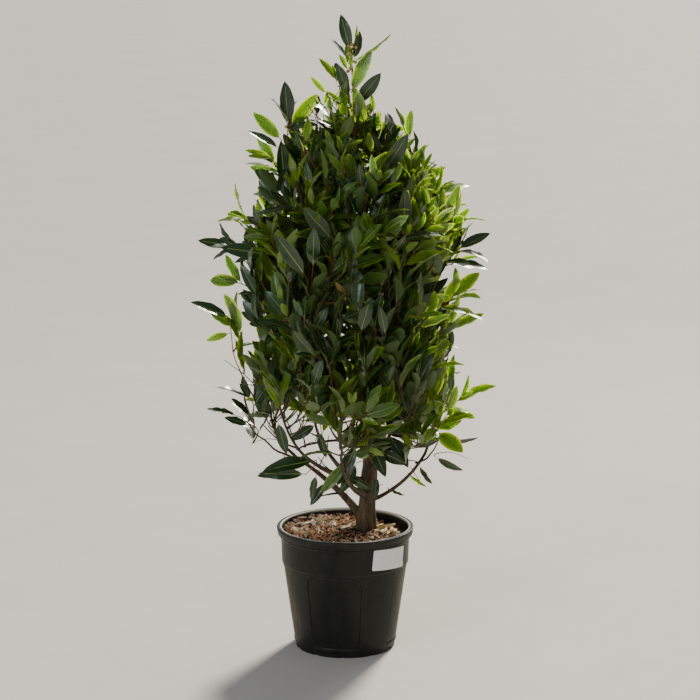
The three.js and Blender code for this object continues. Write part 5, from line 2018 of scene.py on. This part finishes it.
def make_stalks(growth, leaves):
    """The reddish stalks between twigs and blades."""
    roots, along, face, length, _ = as_arrays(growth.leaves, 0.0)
    share = np.linspace(0, 1, STALK_RINGS)
    reach = mix(-STALK_OVERLAP, PETIOLE_LENGTH + STALK_UNDER_BLADE, share)
    centres = roots[:, None] + along[:, None] * reach[None, :, None]
    tangent = np.repeat(along[:, None], STALK_RINGS, axis=1)
    normal = np.repeat(face[:, None], STALK_RINGS, axis=1)
    radii = mix(*STALK_RADII, share)[None] * (length / leaves.length)[:, None]
    finish = stalk_finish("stalk", leaves.stalk)
    make_slender("leaf_stalks", finish, centres, tangent, normal, radii, STALK_SIDES)


def make_buds(growth, leaves):
    """Round buds along the leader, each a small ball drawn to a soft point."""
    parts = MeshParts()
    for place, radius in growth.buds:
        path = place + UP * BUD_HEIGHTS[:, None] * radius * BUD_STRETCH
        add_tube(parts, path, radius * np.sqrt(1 - BUD_HEIGHTS**2) + BUD_SKIN, BUD_SIDES)
    piece = parts.build("leader_buds", [stalk_finish("bud", leaves.bud, 0.5)])


# Stage


def add_lamp(name, kind, place, power, tint, **settings):
    """A lamp that shines on the middle of the plant."""
    data = bpy.data.lights.new(name, kind)
    data.energy = power
    data.color = tint
    for label, value in settings.items():
        setattr(data, label, value)
    lamp = bpy.data.objects.new(name, data)
    lamp.location = place
    lamp.rotation_euler = (LAMP_TARGET - Vector(place)).to_track_quat("-Z", "Y").to_euler()
    bpy.context.scene.collection.objects.link(lamp)


def make_floor(stage):
    mesh = bpy.data.meshes.new("floor")
    corners = [(x * FLOOR_HALF, y * FLOOR_HALF, 0) for x, y in ((-1, -1), (1, -1), (1, 1), (-1, 1))]
    mesh.from_pydata(corners, [], [(0, 1, 2, 3)])
    finish = Finish("floor", 0.75)
    grain = finish.group("Grain", make_grain, Scale=3.0, Stretch=1.0)
    darker = times(stage.floor, 0.93)
    finish.colour(finish.bench.blend(grain["Share"], rgba(darker), rgba(stage.floor)))
    mesh.materials.append(finish.material)
    floor = bpy.data.objects.new("floor", mesh)
    bpy.context.scene.collection.objects.link(floor)


def make_camera():
    data = bpy.data.cameras.new("camera")
    data.sensor_width = CAMERA_SENSOR
    data.lens = CAMERA_LENS
    data.clip_end = CAMERA_REACH
    camera = bpy.data.objects.new("camera", data)
    camera.location = CAMERA_PLACE
    camera.rotation_euler = (CAMERA_TILT, 0, 0)
    bpy.context.scene.collection.objects.link(camera)
    bpy.context.scene.camera = camera


def make_world(stage):
    world = bpy.data.worlds.new("soft_light")
    world.use_nodes = True
    shade = world.node_tree.nodes["Background"]
    shade.inputs["Color"].default_value = rgba(SKY_COLOUR)
    shade.inputs["Strength"].default_value = stage.sky
    bpy.context.scene.world = world


# Operators


def clear_named(prefixes):
    """Takes away pieces of an earlier run, so that an operator can be used again."""
    for piece in [o for o in bpy.data.objects if o.name.startswith(prefixes)]:
        bpy.data.objects.remove(piece)


class BAY_OT_pot(Operator):
    """Build the black nursery pot"""

    bl_idname = "bay.pot"
    bl_label = "Pot"

    def execute(self, context):
        clear_named(("pot_shell",))
        make_pot(context.scene.bay_pot)
        return {"FINISHED"}


class BAY_OT_label(Operator):
    """Build the blank label on the pot"""

    bl_idname = "bay.label"
    bl_label = "Label"

    def execute(self, context):
        clear_named(("label_sheet",))
        make_label(context.scene.bay_label)
        return {"FINISHED"}


class BAY_OT_soil(Operator):
    """Build the compost, the bark chips and the fibres"""

    bl_idname = "bay.soil"
    bl_label = "Soil and mulch"

    def execute(self, context):
        clear_named(("compost_heap", "bark_chips", "mulch_fibres"))
        mouth = context.scene.bay_pot.mouth_radius
        make_soil(context.scene.bay_soil, mouth)
        make_mulch(context.scene.bay_soil, mouth)
        return {"FINISHED"}


class BAY_OT_litter(Operator):
    """Lay a few dry leaves on the mulch"""

    bl_idname = "bay.litter"
    bl_label = "Dry leaves"

    def execute(self, context):
        clear_named(("dry_leaves",))
        make_litter(context.scene.bay_soil, context.scene.bay_pot.mouth_radius, context.scene.bay_leaves)
        return {"FINISHED"}


class BAY_OT_limbs(Operator):
    """Build the trunk and the boughs with their bark"""

    bl_idname = "bay.limbs"
    bl_label = "Trunk and boughs"

    def execute(self, context):
        clear_named(("trunk_bark", "bough_bark"))
        make_trunk(context.scene.bay_limbs)
        make_boughs(context.scene.bay_limbs)
        return {"FINISHED"}


class BAY_OT_foliage(Operator):
    """Grow the twigs, leaves, stalks and buds on from the boughs"""

    bl_idname = "bay.foliage"
    bl_label = "Twigs and leaves"

    def execute(self, context):
        clear_named(("twigs_", "leaves_", "leaf_", "leader_buds"))
        growth = Growth(context.scene.bay_limbs, context.scene.bay_leaves)
        growth.grow()
        if not growth.leaves:
            raise RuntimeError("no leaf found room in the crown")
        print("leaves", len(growth.leaves), "twigs", len(growth.twigs))
        make_twigs(growth, context.scene.bay_limbs)
        for make in (make_blades, make_ribs, make_stalks, make_buds):
            make(growth, context.scene.bay_leaves)
        return {"FINISHED"}


class BAY_OT_stage(Operator):
    """Set the floor, the soft lights and the camera"""

    bl_idname = "bay.stage"
    bl_label = "Stage"

    def execute(self, context):
        stage = context.scene.bay_stage
        make_floor(stage)
        make_world(stage)
        make_camera()
        disk = {"shape": "DISK"}
        add_lamp("sun", "SUN", (1.3, 3.2, 3.2), stage.sun, (1.0, 0.95, 0.85), angle=SUN_SPREAD)
        add_lamp("fill", "AREA", (-2.8, -3.6, 2.6), stage.fill, (0.90, 0.95, 1.0), size=2.6, **disk)
        add_lamp("rim", "AREA", (1.6, 2.6, 2.4), stage.rim, (1.0, 0.97, 0.90), size=1.4, **disk)
        return {"FINISHED"}


class BAY_PT_panel(Panel):
    """The plant's settings and the buttons that build it"""

    bl_idname = "BAY_PT_panel"
    bl_label = "Potted bay pyramid"
    bl_space_type = "VIEW_3D"
    bl_region_type = "UI"
    bl_category = "Bay"

    def draw(self, context):
        for operator, setting in STEPS:
            box = self.layout.box()
            box.operator(operator.bl_idname)
            settings = getattr(context.scene, setting)
            for name in settings.__annotations__:
                box.prop(settings, name)


SETTINGS = {
    "bay_pot": PotSettings,
    "bay_label": LabelSettings,
    "bay_soil": SoilSettings,
    "bay_limbs": LimbSettings,
    "bay_leaves": LeafSettings,
    "bay_stage": StageSettings,
}
STEPS = (
    (BAY_OT_pot, "bay_pot"),
    (BAY_OT_label, "bay_label"),
    (BAY_OT_soil, "bay_soil"),
    (BAY_OT_litter, "bay_leaves"),
    (BAY_OT_limbs, "bay_limbs"),
    (BAY_OT_foliage, "bay_leaves"),
    (BAY_OT_stage, "bay_stage"),
)
CLASSES = (*SETTINGS.values(), *(operator for operator, _ in STEPS), BAY_PT_panel)


def register():
    for item in CLASSES:
        bpy.utils.register_class(item)
    for name, group in SETTINGS.items():
        setattr(bpy.types.Scene, name, PointerProperty(type=group))


def unregister():
    for name in SETTINGS:
        delattr(bpy.types.Scene, name)
    for item in reversed(CLASSES):
        bpy.utils.unregister_class(item)


def main():
    register()
    bpy.ops.bay.stage()
    bpy.ops.bay.pot()
    bpy.ops.bay.label()
    bpy.ops.bay.soil()
    bpy.ops.bay.litter()
    bpy.ops.bay.limbs()
    bpy.ops.bay.foliage()


if __name__ == "__main__":
    main()
